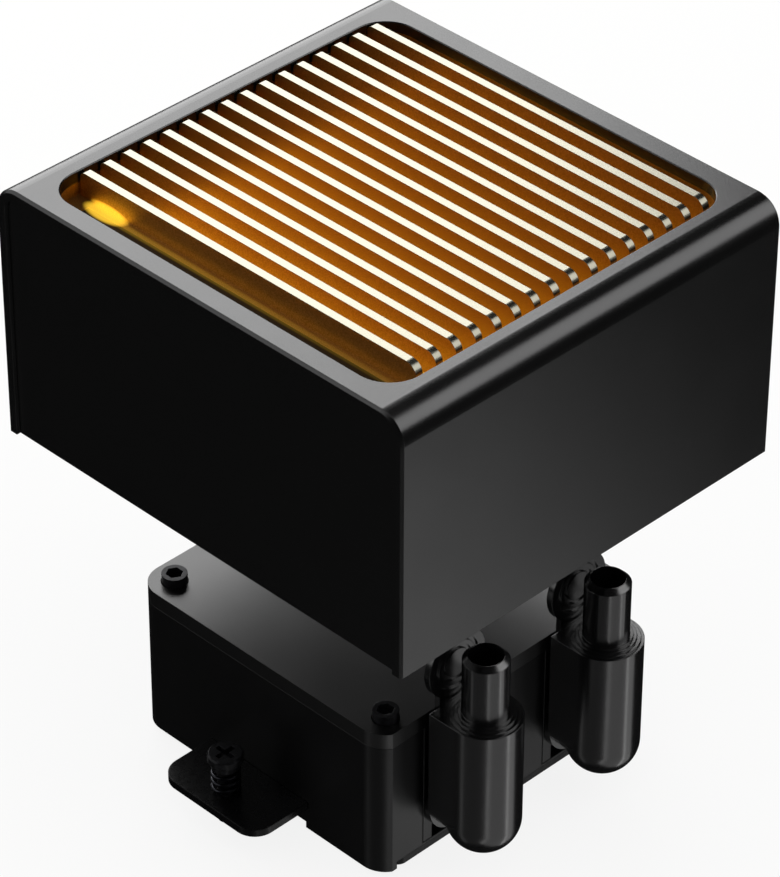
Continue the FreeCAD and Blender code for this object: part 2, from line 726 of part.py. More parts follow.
def light_board():
    """A circuit board on the carrier's ledge, with a row of light chips along its front and rear."""
    body = new_body("light_board")
    half_x = carrier_half_x - size["carrier_wall"] - size["slip"]
    half_y = carrier_half_y - size["carrier_wall"] - size["slip"]
    chip_pitch = 2 * (half_x - size["light_chip_inset"]) / (size["light_chip_rows"] - 1)
    board = outline(body, "light_board_outline", "XY_Plane",
                    rounded(half_x, half_y, size["carrier_corner"]), light_board_level)
    pad(body, board, size["board_sheet"])
    keep("light_board", body)
    top = light_board_level + size["board_sheet"]
    half = size["light_chip"] / 2
    chips = []
    for row, y in (("front", -(half_y - size["light_chip"])), ("rear", half_y - size["light_chip"])):
        for index in range(int(size["light_chip_rows"].now)):
            x = chip_pitch * (index - (size["light_chip_rows"] - 1) / 2)
            chips.append(box("chip_%s_%d" % (row, index), (x - half, y - half, top),
                             (x + half, y + half, top + size["light_chip_tall"])))
    keep("light_chips", group("light_chips", chips))


def cap_carrier():
    """A moulded frame inside the cap: it carries the tray and the board, and stands on four posts."""
    body = new_body("cap_carrier")
    corner = size["carrier_corner"]
    wall = size["carrier_wall"]
    inner = wall + size["carrier_ledge"]
    ring = outline(body, "carrier_ring", "XY_Plane", rounded(carrier_half_x, carrier_half_y, corner),
                   carrier_bottom)
    pad(body, ring, size["carrier_tall"])
    room = outline(body, "board_room", "XY_Plane",
                   rounded(carrier_half_x - wall, carrier_half_y - wall, corner), carrier_top)
    pocket(body, room, size["light_board_drop"])
    hollow = outline(body, "carrier_hollow", "XY_Plane",
                     rounded(carrier_half_x - inner, carrier_half_y - inner, corner), light_board_level)
    pocket(body, hollow, light_board_level - carrier_bottom - size["carrier_web"])
    posts = circles(body, "posts", "XY_Plane", four(size["post_place"]), size["post_radius"], post_bottom)
    pad(body, posts, carrier_bottom - post_bottom + size["carrier_web"] / 2)
    seats = circles(body, "magnet_seats", "XY_Plane", four(size["post_place"]),
                    size["magnet_radius"] + size["slip"], post_bottom + size["magnet_tall"])
    pocket(body, seats, size["magnet_tall"])
    keep("cap_carrier", body)
    magnets = [cylinder("cap_magnet_%d" % index, size["magnet_radius"], (x, y, post_bottom),
                        size["magnet_tall"])
               for index, (x, y) in enumerate(four(size["post_place"]))]
    keep("cap_magnets", group("cap_magnets", magnets))


# The cold plate and the block.

def cold_plate():
    """Copper plate: a contact block, a flange, and a field of fine fins cut up from its top."""
    body = new_body("cold_plate")
    corner = size["plate_corner"]
    pad(body, outline(body, "contact_block", "XY_Plane", rounded(contact_half, contact_half, corner), 0),
        base_top)
    pad(body, outline(body, "flange", "XY_Plane", rounded(flange_half, flange_half, corner), base_top),
        size["flange_tall"])
    first = -size["micro_fin_pitch"] * (size["micro_fin_count"] - 1) / 2
    low = first - size["micro_fin_sheet"] / 2
    high = first + size["micro_fin_sheet"] / 2
    reach = size["micro_fin_long"] / 2
    fin = outline(body, "fine_fin", "XY_Plane", [(-reach, low), (reach, low), (reach, high), (-reach, high)],
                  flange_top)
    first_fin = pad(body, fin, size["micro_fin_tall"])
    repeat_along(body, first_fin, "Y_Axis", size["micro_fin_pitch"], size["micro_fin_count"])
    keep("cold_plate", body)


def plate_gasket():
    body = new_body("plate_gasket")
    outer = flange_half - size["gasket_inset"]
    inner = outer - size["gasket_width"]
    corner = size["plate_corner"]
    pad(body, outline(body, "gasket_outer", "XY_Plane", rounded(outer, outer, corner), flange_top),
        size["gasket_tall"])
    pocket(body, outline(body, "gasket_inner", "XY_Plane", rounded(inner, inner, size["gasket_corner"]),
                         ledge_level), size["gasket_tall"])
    keep("plate_gasket", body)


def base_screw_places():
    """Four corners and the middle of each side."""
    reach = base_screw_reach
    return four(reach) + [(reach, 0), (-reach, 0), (0, reach), (0, -reach)]


def base_plate():
    """Steel frame round the contact block, level with the block's port face on the right."""
    body = new_body("base_plate")
    bottom = size["block_bottom"]
    edge = block_flat - size["slip"]
    corner = size["base_corner"]
    pad(body, outline(body, "base_outline", "XY_Plane", [
        (-base_half, -base_half, corner), (edge, -base_half, corner),
        (edge, base_half, corner), (-base_half, base_half, corner)], bottom), size["base_sheet"])
    opening = contact_half + 2 * size["slip"]
    pocket(body, outline(body, "base_opening", "XY_Plane", rounded(opening, opening, size["plate_corner"]),
                         base_top), size["base_sheet"])
    pocket(body, circles(body, "base_holes", "XY_Plane", base_screw_places(),
                         size["base_screw_shank"] + size["screw_gap"], base_top), size["base_sheet"])
    pocket(body, circles(body, "base_head_seats", "XY_Plane", base_screw_places(),
                         size["base_screw_head"] + size["screw_gap"],
                         bottom + size["base_screw_head_tall"]), size["base_screw_head_tall"])
    keep("base_plate", body)


def small_screw(name, x, y, bottom, head, head_tall, shank, length):
    """A flat-headed screw that points up, from its head's lower face."""
    return fuse(name, [cylinder(name + "_head", head, (x, y, bottom), head_tall),
                       cylinder(name + "_shank", shank, (x, y, bottom), length)])


def base_screws():
    screws = [small_screw("base_screw_%d" % index, x, y, size["block_bottom"], size["base_screw_head"],
                          size["base_screw_head_tall"], size["base_screw_shank"], size["base_screw_long"])
              for index, (x, y) in enumerate(base_screw_places())]
    keep("base_screws", group("base_screws", screws))


def pump_housing():
    """Moulded block: a wet side below for the cold plate and impeller, a dry motor room above."""
    body = new_body("pump_housing")
    bottom = size["block_bottom"]
    slip = size["slip"]
    pad(body, outline(body, "block_outline", "XY_Plane",
                      rounded(block_half, block_half, size["block_corner"]), bottom), lid_bottom - bottom)
    pocket(body, outline(body, "motor_room", "XY_Plane",
                         rounded(motor_half, motor_half, size["motor_room_corner"]), lid_bottom),
           lid_bottom - divider_top)
    posts = circles(body, "board_posts", "XY_Plane", four(size["board_post_place"]),
                    size["board_post_radius"], divider_top)
    pad(body, posts, size["board_level"] - divider_top)
    pocket(body, circles(body, "lid_screw_bores", "XY_Plane", four(lid_screw_place),
                         size["lid_screw_shank"], lid_bottom),
           size["lid_screw_long"] - size["lid_sheet"] + size["lid_screw_sunk"])
    pocket(body, circles(body, "pump_chamber", "XY_Plane", [(0, 0)], size["chamber_radius"],
                         size["divider_bottom"]), size["divider_bottom"] - jet_top)
    boss = circles(body, "shaft_boss", "XY_Plane", [(0, 0)], size["shaft_boss_radius"], upper_boss_bottom)
    pad(body, boss, size["shaft_boss_tall"])
    pocket(body, circles(body, "shaft_seat", "XY_Plane", [(0, 0)], size["shaft_radius"],
                         upper_boss_bottom + size["shaft_seat"]), size["shaft_seat"])
    jet_room = jet_half + slip
    pocket(body, outline(body, "jet_room", "XY_Plane", rounded(jet_room, jet_room, size["plate_corner"]),
                         jet_top), jet_top - ledge_level)
    flange_room = flange_half + 2 * slip
    pocket(body, outline(body, "flange_room", "XY_Plane",
                         rounded(flange_room, flange_room, size["plate_corner"]), ledge_level),
           ledge_level - bottom)
    base_room = base_half + slip
    beyond = block_half + slip
    pocket(body, outline(body, "base_room", "XY_Plane", [
        (-base_room, -base_room, size["base_corner"]), (beyond, -base_room), (beyond, base_room),
        (-base_room, base_room, size["base_corner"])], base_top), size["base_sheet"])
    pocket(body, circles(body, "base_screw_bores", "XY_Plane", base_screw_places(),
                         size["base_screw_shank"], bottom + size["base_screw_long"] + slip),
           size["base_screw_long"] + slip - size["base_sheet"])
    cuts = []
    cuts.append(box("port_face_cut", (block_flat, -block_half, 0), (beyond, block_half, size["block_top"])))
    for name, side in (("front", -1), ("rear", 1)):
        y = side * size["port_place"]
        cuts.append(cylinder(name + "_port_bore", size["bore_radius"],
                                   (bore_end, y, size["port_level"]),
                                   block_flat - bore_end, ALONG_X))
        cuts.append(cylinder(name + "_collar_room", size["collar_room"],
                                   (collar_room_back, y, size["port_level"]),
                                   block_flat - collar_room_back, ALONG_X))
        half = size["retainer_wide"] / 2 + size["seam"]
        cuts.append(box(name + "_retainer_room",
                              (retainer_back, y - half, size["retainer_bottom"] - size["seam"]),
                              (beyond, y + half, lid_bottom)))
        slot_half = size["tab_half"] + slip
        slot_in = side * (tab_inner - size["tab_gap"])
        slot_out = side * beyond
        low_y, high_y = (slot_out, slot_in) if side < 0 else (slot_in, slot_out)
        cuts.append(box(name + "_tab_slot", (-slot_half, low_y, size["tab_level"] - size["tab_gap"]),
                              (slot_half, high_y, size["tab_level"] + size["tab_sheet"] + size["tab_gap"])))
        notch_in = side * base_half
        low_y, high_y = (slot_out, notch_in) if side < 0 else (notch_in, slot_out)
        cuts.append(box(name + "_notch", (-size["notch_half"], low_y, bottom),
                              (size["notch_half"], high_y, bottom + size["notch_tall"])))
        for mark, x in (("left", -size["tab_screw_place"]), ("right", size["tab_screw_place"])):
            cuts.append(cylinder("%s_%s_tab_screw_bore" % (name, mark),
                                       size["base_screw_shank"] + size["screw_gap"],
                                       (x, side * tab_screw_reach, bottom),
                                       size["tab_level"] - bottom))
    half = size["inlet_wide"] / 2 + slip
    cuts.append(box("inlet_room", (-beyond, -half, divider_top),
                          (-motor_half + slip, half, divider_top + size["inlet_tall"] + slip)))
    keep("pump_housing", cut("pump_housing_cut", body, cuts))


def housing_lid():
    """Lid of the block, with blind seats under it for the docking magnets."""
    body = new_body("housing_lid")
    pad(body, outline(body, "lid_outline", "XY_Plane",
                      rounded(block_half, block_half, size["block_corner"]), lid_bottom), size["lid_sheet"])
    top = size["block_top"]
    pocket(body, circles(body, "lid_holes", "XY_Plane", four(lid_screw_place),
                         size["lid_screw_shank"] + size["screw_gap"], top), size["lid_sheet"])
    pocket(body, circles(body, "lid_head_seats", "XY_Plane", four(lid_screw_place),
                         size["lid_screw_head"] + size["screw_gap"], top), size["lid_screw_sunk"])
    pocket(body, circles(body, "dock_seats", "XY_Plane", four(size["post_place"]),
                         size["magnet_radius"] + size["slip"], lid_bottom + size["magnet_tall"]),
           size["magnet_tall"])
    side = box("lid_side_cut", (block_flat, -block_half, lid_bottom), (block_half, block_half, top))
    keep("housing_lid", cut("housing_lid_cut", body, [side]))
    magnets = [cylinder("dock_magnet_%d" % index, size["magnet_radius"], (x, y, lid_bottom),
                        size["magnet_tall"])
               for index, (x, y) in enumerate(four(size["post_place"]))]
    keep("dock_magnets", group("dock_magnets", magnets))


def lid_screw(name, x, y):
    """A socket cap screw that points down."""
    seat = size["block_top"] - size["lid_screw_sunk"]
    head_top = seat + size["lid_screw_head_tall"]
    head = cylinder(name + "_head", size["lid_screw_head"], (x, y, seat), size["lid_screw_head_tall"])
    shank = cylinder(name + "_shank", size["lid_screw_shank"], (x, y, seat - size["lid_screw_long"]),
                     size["lid_screw_long"])
    socket = doc.addObject("Part::Prism", name + "_socket")
    socket.Polygon = 6
    follow(socket, Circumradius=size["lid_screw_socket"], Height=size["lid_screw_socket_deep"])
    place(socket, x, y, head_top - size["lid_screw_socket_deep"])
    return cut(name, fuse(name + "_blank", [head, shank]), [socket])


def lid_screws():
    screws = [lid_screw("lid_screw_%d" % index, x, y)
              for index, (x, y) in enumerate(four(lid_screw_place))]
    keep("lid_screws", group("lid_screws", screws))


# The pump and its motor.

def jet_plate():
    """Plate that feeds the fine fins through two slots and holds the shaft's lower end."""
    body = new_body("jet_plate")
    pad(body, outline(body, "jet_outline", "XY_Plane", rounded(jet_half, jet_half, size["plate_corner"]),
                      jet_bottom), size["jet_sheet"])
    pad(body, circles(body, "jet_boss", "XY_Plane", [(0, 0)], size["shaft_boss_radius"], jet_top),
        size["shaft_boss_tall"])
    pocket(body, circles(body, "jet_shaft_seat", "XY_Plane", [(0, 0)], size["shaft_radius"],
                         lower_boss_top), size["shaft_seat"])
    reach = size["jet_slot_long"] / 2
    for name, side in (("left_jet", -1), ("right_jet", 1)):
        low = side * size["jet_slot_place"] - size["jet_slot_wide"] / 2
        high = low + size["jet_slot_wide"]
        pocket(body, outline(body, name, "XY_Plane",
                             [(low, -reach), (high, -reach), (high, reach), (low, reach)], jet_top),
               size["jet_sheet"])
    keep("jet_plate", body)


def pump_shaft():
    start = lower_boss_top - size["shaft_seat"]
    end = upper_boss_bottom + size["shaft_seat"]
    keep("pump_shaft", cylinder("pump_shaft", size["shaft_radius"], (0, 0, start), end - start))


def sleeve(name, outer, inner, bottom, tall):
    """A plain ring about the upright axis."""
    body = new_body(name)
    pad(body, circles(body, name + "_outer", "XY_Plane", [(0, 0)], outer, bottom), tall)
    pocket(body, circles(body, name + "_inner", "XY_Plane", [(0, 0)], inner, bottom + tall), tall)
    return keep(name, body)


def impeller():
    """Disc with a hub and swept blades under it."""
    body = new_body("impeller")
    disc_bottom = bush_bottom + size["blade_tall"] + size["washer_tall"]
    bore = size["shaft_radius"] + size["running_gap"] + size["bush_wall"]
    pad(body, circles(body, "hub", "XY_Plane", [(0, 0)], size["impeller_hub"], bush_bottom),
        bush_top - bush_bottom)
    pad(body, circles(body, "disc", "XY_Plane", [(0, 0)], size["impeller_radius"], disc_bottom),
        size["impeller_disc"])
    root = size["blade_root"]
    bend = size["blade_bend"]
    tip = size["blade_tip"]
    sheet_width = size["blade_sheet"]
    sweep = size["blade_sweep"]
    blade = outline(body, "impeller_blade", "XY_Plane", [
        (root, 0), (bend, sweep), (tip, 3 * sweep), (tip, 3 * sweep + sheet_width),
        (bend, sweep + sheet_width), (root, sheet_width)], disc_bottom - size["blade_tall"])
    first = pad(body, blade, size["blade_tall"])
    repeat_round(body, first, size["blade_count"])
    subtract_cylinder(body, "hub_bore", bore, (0, 0, bush_bottom), bush_top - bush_bottom)
    keep("impeller", body)
    sleeve("impeller_bush", bore, size["shaft_radius"] + size["running_gap"], bush_bottom,
           bush_top - bush_bottom)
    sleeve("rotor_magnet", size["rotor_outer"], size["impeller_hub"], disc_bottom + size["impeller_disc"],
           size["rotor_tall"])


def thrust_washers():
    pieces = []
    inner = size["shaft_radius"]
    for name, level in (("lower_washer", lower_boss_top), ("upper_washer", bush_top)):
        ring = cylinder(name + "_disc", size["shaft_boss_radius"], (0, 0, level), size["washer_tall"])
        hole = cylinder(name + "_hole", inner, (0, 0, level), size["washer_tall"])
        pieces.append(cut(name, ring, [hole]))
    keep("thrust_washers", group("thrust_washers", pieces))


def stator():
    """Toothed iron stack, with a coil round each tooth."""
    body = new_body("stator_core")
    bottom = divider_top + size["coil_wall"]
    pad(body, circles(body, "yoke", "XY_Plane", [(0, 0)], size["yoke_outer"], bottom), size["stator_tall"])
    pocket(body, circles(body, "yoke_room", "XY_Plane", [(0, 0)], size["yoke_inner"],
                         bottom + size["stator_tall"]), size["stator_tall"])
    half = size["tooth_wide"] / 2
    overlap = (size["yoke_inner"] + size["yoke_outer"]) / 2
    tooth = outline(body, "tooth", "XY_Plane",
                    [(size["tooth_inner"], -half), (overlap, -half), (overlap, half),
                     (size["tooth_inner"], half)], bottom)
    repeat_round(body, pad(body, tooth, size["stator_tall"]), size["tooth_count"])
    keep("stator_core", body)
    coils = []
    gap = size["coil_gap"]
    wall = size["coil_wall"]
    start = size["coil_inner"]
    end = start + size["coil_long"]
    for index in range(int(size["tooth_count"].now)):
        name = "coil_%d" % index
        outer = box(name + "_outer", (start, -half - wall, bottom - wall + gap),
                    (end, half + wall, bottom + size["stator_tall"] + wall))
        inner = box(name + "_inner", (start, -half - gap, bottom - gap),
                    (end, half + gap, bottom + size["stator_tall"] + gap))
        coil = cut(name, outer, [inner])
        coil.Placement.Rotation = FreeCAD.Rotation(Vector(0, 0, 1), 360 * index / size["tooth_count"].now)
        coils.append(coil)
    keep("stator_coils", group("stator_coils", coils))


def control_board():
    """Motor's circuit board on four posts, and the power socket through the left wall under it."""
    body = new_body("control_board")
    half = motor_half - size["board_gap"]
    pad(body, outline(body, "board_outline", "XY_Plane",
                      rounded(half, half, size["motor_room_corner"]), size["board_level"]),
        size["board_sheet"])
    keep("control_board", body)
    start = -block_half
    half_y = size["inlet_wide"] / 2
    top = divider_top + size["inlet_tall"]
    wall = size["inlet_wall"]
    shell = box("inlet_shell", (start, -half_y, divider_top), (start + size["inlet_long"], half_y, top))
    mouth = box("inlet_mouth", (start, wall - half_y, divider_top + wall),
                (start + size["inlet_long"] - wall, half_y - wall, top - wall))
    keep("power_socket", cut("power_socket", shell, [mouth]))


# The ports and elbows.

def port_retainer(name, side):
    """Flat plate that slides down over a spigot's neck and lies level with the port face."""
    body = new_body(name)
    centre = side * size["port_place"]
    half = size["retainer_wide"] / 2
    low = size["retainer_bottom"]
    slot = size["spigot_neck"] + size["slip"]
    profile = outline(body, name + "_profile", "YZ_Plane", [
        (centre - half, low), (centre - slot, low), (centre - slot, size["port_level"] + slot, slot),
        (centre + slot, size["port_level"] + slot, slot), (centre + slot, low), (centre + half, low),
        (centre + half, lid_bottom), (centre - half, lid_bottom)], retainer_back)
    pad(body, profile, size["retainer_sheet"])
    keep(name, body)


def elbow(name, side):
    """Hose elbow, built about the crossing of its swivel axis and its upright axis."""
    body = new_body(name)
    axis_x = elbow_axis
    level = size["port_level"]
    radius = size["elbow_radius"]
    back = elbow_back - axis_x
    top = size["elbow_top"] - level
    bottom = size["elbow_back_bottom"] - level
    block = pad(body, outline(body, name + "_back", "XY_Plane",
                              [(back, -radius), (0, -radius), (0, radius), (back, radius)], bottom),
                top - bottom)

    def lower_edge(middle, edge):
        return near(middle.z, bottom.now) and not near(middle.x, 0)

    dress_edges(body, "Fillet", block, size["elbow_back_round"], lower_edge)
    step = size["ring_step"]
    stub_top = size["stub_top"] - level
    stub = size["stub_radius"]
    riser = outline(body, name + "_riser", "XZ_Plane", [
        (0, 0), (radius, 0), (radius, top), (size["ring_outer"], top), (size["ring_outer"], top + step),
        (size["ring_middle"], top + step), (size["ring_middle"], top + 2 * step),
        (size["ring_inner"], top + 2 * step), (size["ring_inner"], top + 3 * step), (stub, top + 3 * step),
        (stub, stub_top - size["stub_edge"]), (stub - size["stub_edge"], stub_top), (0, stub_top)])
    revolve(body, riser, "V_Axis")
    dome = body.newObject("PartDesign::AdditiveSphere", name + "_dome")
    follow(dome, Radius=radius)
    doc.recompute()
    flange_back = block_flat + size["slip"] - axis_x
    collar_front = retainer_back - size["slip"] - axis_x
    collar_back = collar_front - size["spigot_collar_wide"]
    spigot_back = spigot_end - axis_x
    spigot = size["spigot_radius"]
    neck = size["spigot_neck"]
    profile = [(0, 0), (0, size["elbow_neck"]), (back, size["elbow_neck"]), (back, size["elbow_flange"]),
               (flange_back, size["elbow_flange"]), (flange_back, neck), (collar_front, neck),
               (collar_front, size["spigot_collar"]), (collar_back, size["spigot_collar"]),
               (collar_back, spigot)]
    for centre in seal_places():
        front = centre + size["groove_wide"] / 2 - axis_x
        rear = centre - size["groove_wide"] / 2 - axis_x
        profile += [(front, spigot), (front, size["groove_radius"]), (rear, size["groove_radius"]),
                    (rear, spigot)]
    profile += [(spigot_back, spigot), (spigot_back, 0)]
    revolve(body, outline(body, name + "_spigot", "XZ_Plane", profile), "H_Axis")
    subtract_cylinder(body, name + "_upright_bore", size["stub_bore"], (0, 0, 0), stub_top)
    subtract_cylinder(body, name + "_level_bore", size["passage_bore"], (spigot_back, 0, 0),
                      -spigot_back, ALONG_X)
    turn = body.newObject("PartDesign::SubtractiveSphere", name + "_turn")
    follow(turn, Radius=size["stub_bore"])
    doc.recompute()
    place(body, axis_x, side * size["port_place"], level)
    keep(name, body)


def seal_places():
    """Middles of the seal grooves along X, the outer one first."""
    middle = (spigot_end + collar_room_back) / 2
    count = int(size["seal_count"].now)
    return [middle + size["seal_pitch"] * ((count - 1) / 2 - index) for index in range(count)]


def elbow_seals(name, side):
    rings = []
    for index, centre in enumerate(seal_places()):
        ring = doc.addObject("Part::Torus", "%s_%d" % (name, index))
        ring.Placement.Rotation = ALONG_X
        follow(ring, Radius1=size["groove_radius"] + size["seal_section"], Radius2=size["seal_section"])
        place(ring, centre, side * size["port_place"], size["port_level"])
        rings.append(ring)
    keep(name, group(name, rings))


def key_plate(name, side):
    """Plate on an elbow's flat back: a tongue, and a round ringed head behind the hose stub."""
    body = new_body(name)
    centre = side * size["port_place"]
    thick = elbow_back - key_back
    level = size["key_level"]
    tongue = size["key_tongue"]
    pad(body, circles(body, name + "_head", "YZ_Plane", [(centre, level)], size["key_radius"],
                      key_back), thick)
    pad(body, outline(body, name + "_tongue", "YZ_Plane", [
        (centre - tongue, size["key_bottom"]), (centre + tongue, size["key_bottom"]),
        (centre + tongue, level), (centre - tongue, level)], key_back), thick)
    for mark, outer in (("outer", size["key_ring_outer"]), ("inner", size["key_ring_inner"])):
        ring = circles(body, "%s_%s_ring" % (name, mark), "YZ_Plane", [(centre, level)], outer, elbow_back)
        add_circle(ring, (centre, level), outer - size["key_groove_wide"])
        pocket(body, ring, size["key_groove_deep"])
    keep(name, body)


def add_circle(sketch, spot, radius):
    """One more circle in a sketch of circles."""
    spot = [measure(value) for value in spot]
    item = sketch.addGeometry(Part.Circle(numbers(spot), Vector(0, 0, 1), radius.now), False)
    fix_point(sketch, item, 3, spot)
    fix_radius(sketch, item, radius)


# The mounting tabs and their spring screws.

def mounting_tab(name, side):
    """Steel tab that slides into a slot of the block and carries a spring screw."""
    body = new_body(name)
    half = size["tab_half"]
    inner = side * tab_inner
    outer = side * tab_outer
    corner = size["tab_corner"]
    corners = [(-half, outer, corner), (half, outer, corner), (half, inner), (-half, inner)]
    if side > 0:
        corners = [(-half, inner), (half, inner), (half, outer, corner), (-half, outer, corner)]
    pad(body, outline(body, name + "_outline", "XY_Plane", corners, size["tab_level"]), size["tab_sheet"])
    top = size["tab_level"] + size["tab_sheet"]
    pocket(body, circles(body, name + "_hole", "XY_Plane", [(0, side * mount_reach)],
                         size["mount_hole"], top), size["tab_sheet"])
    pocket(body, circles(body, name + "_threads", "XY_Plane",
                         [(x * size["tab_screw_place"], side * tab_screw_reach) for x in (-1, 1)],
                         size["base_screw_shank"], top), size["tab_sheet"])
    keep(name, body)


def tab_screws():
    """Screws that hold the tabs, from the notches under the block."""
    screws = []
    length = size["tab_level"] + size["tab_sheet"] - size["block_bottom"]
    for row, side in (("front", -1), ("rear", 1)):
        for mark, x in (("left", -size["tab_screw_place"]), ("right", size["tab_screw_place"])):
            screws.append(small_screw("%s_%s_tab_screw" % (row, mark), x, side * tab_screw_reach,
                                      size["block_bottom"] + size["notch_tall"]
                                      - size["base_screw_head_tall"], size["base_screw_head"],
                                      size["base_screw_head_tall"], size["base_screw_shank"],
                                      length - size["notch_tall"] + size["base_screw_head_tall"]))
    keep("tab_screws", group("tab_screws", screws))


def spring_screw(name, side):
    """Shouldered screw with a flat cross-recessed head, and a groove for its clip."""
    body = new_body(name)
    tip = size["mount_tip"]
    shank = size["mount_shank"]
    edge = size["mount_shank"] - size["clip_groove"]
    groove_top = size["tab_level"] - size["clip_gap"]
    groove_bottom = groove_top - size["clip_sheet"]
    collar = size["mount_collar"]
    head = size["mount_head"]
    head_bottom = size["mount_top"] - size["mount_head_tall"]
    profile = outline(body, name + "_profile", "XZ_Plane", [
        (0, tip), (shank - edge, tip), (shank, tip + edge), (shank, groove_bottom),
        (size["clip_groove"], groove_bottom), (size["clip_groove"], groove_top), (shank, groove_top),
        (shank, size["mount_collar_level"]), (collar, size["mount_collar_level"]), (collar, head_bottom),
        (head, head_bottom), (head, size["mount_top"] - edge), (head - edge, size["mount_top"]),
        (0, size["mount_top"])])
    revolve(body, profile, "V_Axis")
    long_half = size["mount_cross_long"] / 2
    wide_half = size["mount_cross_wide"] / 2
    cross = outline(body, name + "_cross", "XY_Plane", [
        (-long_half, -wide_half), (-wide_half, -wide_half), (-wide_half, -long_half),
        (wide_half, -long_half), (wide_half, -wide_half), (long_half, -wide_half), (long_half, wide_half),
        (wide_half, wide_half), (wide_half, long_half), (-wide_half, long_half), (-wide_half, wide_half),
        (-long_half, wide_half)], size["mount_top"])
    pocket(body, cross, size["mount_cross_deep"])
    place(body, 0, side * mount_reach, 0)
    keep(name, body)


def screw_clip(name, side):
    """Open ring in the screw's groove, under the tab."""
    y = side * mount_reach
    bottom = size["tab_level"] - size["clip_gap"] - size["clip_sheet"]
    disc = cylinder(name + "_disc", size["clip_radius"], (0, y, bottom), size["clip_sheet"])
    hole = cylinder(name + "_hole", size["clip_groove"], (0, y, bottom), size["clip_sheet"])
    mouth = box(name + "_mouth", (0, y - size["clip_groove"] / 2, bottom),
                (size["clip_radius"], y + size["clip_groove"] / 2, bottom + size["clip_sheet"]))
    keep(name, cut(name, disc, [hole, mouth]))


def screw_spring(name, side):
    """Open coil of round wire between the tab and the screw's collar."""
    wire = size["spring_wire"].now
    low = (size["tab_level"] + size["tab_sheet"]).now + wire
    tall = size["mount_collar_level"].now - wire - low
    turns = size["spring_turns"].now
    coil = Part.makeHelix(tall / turns, tall, size["spring_radius"].now)
    section = Part.Wire(Part.makeCircle(wire, Vector(size["spring_radius"].now, 0, 0), Vector(0, 1, 0)))
    piece = doc.addObject("Part::Feature", name)
    piece.Shape = Part.Wire(coil.Edges).makePipeShell([section], True, True)
    piece.Placement = FreeCAD.Placement(Vector(0, side * mount_reach.now, low), UPRIGHT)
    keep(name, piece)


cap_wrap()
cap_panel("cap_front_panel", -1)
cap_panel("cap_rear_panel", 1)
fin_grille()
light_diffuser()
light_board()
cap_carrier()
cold_plate()
plate_gasket()
base_plate()
base_screws()
pump_housing()
housing_lid()
lid_screws()
jet_plate()
pump_shaft()
impeller()
thrust_washers()
stator()
control_board()
for end, direction in (("front", -1), ("rear", 1)):
    port_retainer(end + "_port_retainer", direction)
    elbow(end + "_elbow", direction)
    elbow_seals(end + "_elbow_seals", direction)
    key_plate(end + "_key_plate", direction)
    mounting_tab(end + "_mounting_tab", direction)
    spring_screw(end + "_spring_screw", direction)
    screw_clip(end + "_screw_clip", direction)
    screw_spring(end + "_screw_spring", direction)
tab_screws()

# Every object is sound before anything is written.
doc.recompute()
for item in doc.Objects:
    if "Invalid" in item.State or "Error" in item.State:
        raise RuntimeError("%s failed: %s" % (item.Name, item.State))
for name, piece in nodes.items():
    if piece.Shape.isNull() or not piece.Shape.isValid():
        raise RuntimeError("%s has no sound shape" % name)
os.makedirs("parts", exist_ok=True)
for name, piece in nodes.items():
    piece.Shape.exportStep("parts/%s.step" % name)
    print(name, len(piece.Shape.Solids), round(piece.Shape.Volume, 2))
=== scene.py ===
# %% [markdown]
# # The pump head of a liquid cooler
# A liquid cooler for a processor ends in this head: a black pump block with two swivelling hose
# elbows, and a square black cap that drops over it. The cap's window holds a gold grille with a
# painted amber glow from below, an emission laid on by place. The solids come from the imported
# frame at their real size. This lesson sets up the camera and the studio, and gives each solid the
# finish of the real surface.

# %% Load the frame
import json
import math

import bmesh
import bpy
from mathutils import Euler, Matrix, Vector


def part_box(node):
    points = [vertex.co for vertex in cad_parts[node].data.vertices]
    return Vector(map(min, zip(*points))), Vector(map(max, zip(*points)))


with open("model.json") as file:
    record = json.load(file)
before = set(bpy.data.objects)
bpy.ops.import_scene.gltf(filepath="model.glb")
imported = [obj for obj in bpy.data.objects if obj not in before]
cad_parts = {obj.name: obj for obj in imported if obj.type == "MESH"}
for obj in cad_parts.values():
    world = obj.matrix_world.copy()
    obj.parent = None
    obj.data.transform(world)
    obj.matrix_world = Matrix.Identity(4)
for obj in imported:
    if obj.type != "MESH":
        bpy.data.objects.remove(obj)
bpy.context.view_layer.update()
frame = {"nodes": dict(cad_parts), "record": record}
nodes = frame["nodes"]
scene = bpy.context.scene
MM = 0.001
print("nodes in the frame:", len(nodes))

# %% [markdown]
# ## The camera
# The view is from above the right front corner, with a long lens from far away, so that the
# cap's edges stay almost parallel. Azimuth, elevation and roll turn the camera, and it stands
# back along its own axis from the point that it looks at, just inside the cap's rim.

# %% The camera
view_azimuth = math.radians(45.0854)
view_elevation = math.radians(36.2322)
view_roll = math.radians(0.1983)
view_distance = 760.0 * MM
view_aim = Vector((0.10, 0.61, 60.92)) * MM
view_lens = 187.47
sensor_height = 36.0
nearest_seen = 10.0 * MM

camera_data = bpy.data.cameras.new("camera")
camera_data.lens = view_lens
camera_data.sensor_fit = "VERTICAL"
camera_data.sensor_height = sensor_height
camera_data.clip_start = nearest_seen
camera = bpy.data.objects.new("camera", camera_data)
scene.collection.objects.link(camera)
turn = Euler((math.pi / 2 - view_elevation, 0.0, view_azimuth)).to_matrix()
turn = turn @ Matrix.Rotation(view_roll, 3, "Z")
camera.matrix_world = Matrix.Translation(view_aim + turn.col[2] * view_distance) @ turn.to_4x4()
scene.camera = camera
print("camera at", [round(value / MM, 1) for value in camera.location], "mm")

# %% [markdown]
# ## Two helpers for colours and nodes
# A colour is written as the hex value that a colour picker shows, and the shader works in linear
# light, so one function turns the first into the second. The other adds any node with its
# settings, its plain values and its links, so that a material reads as a list of what goes into
# what.

# %% Helpers for materials


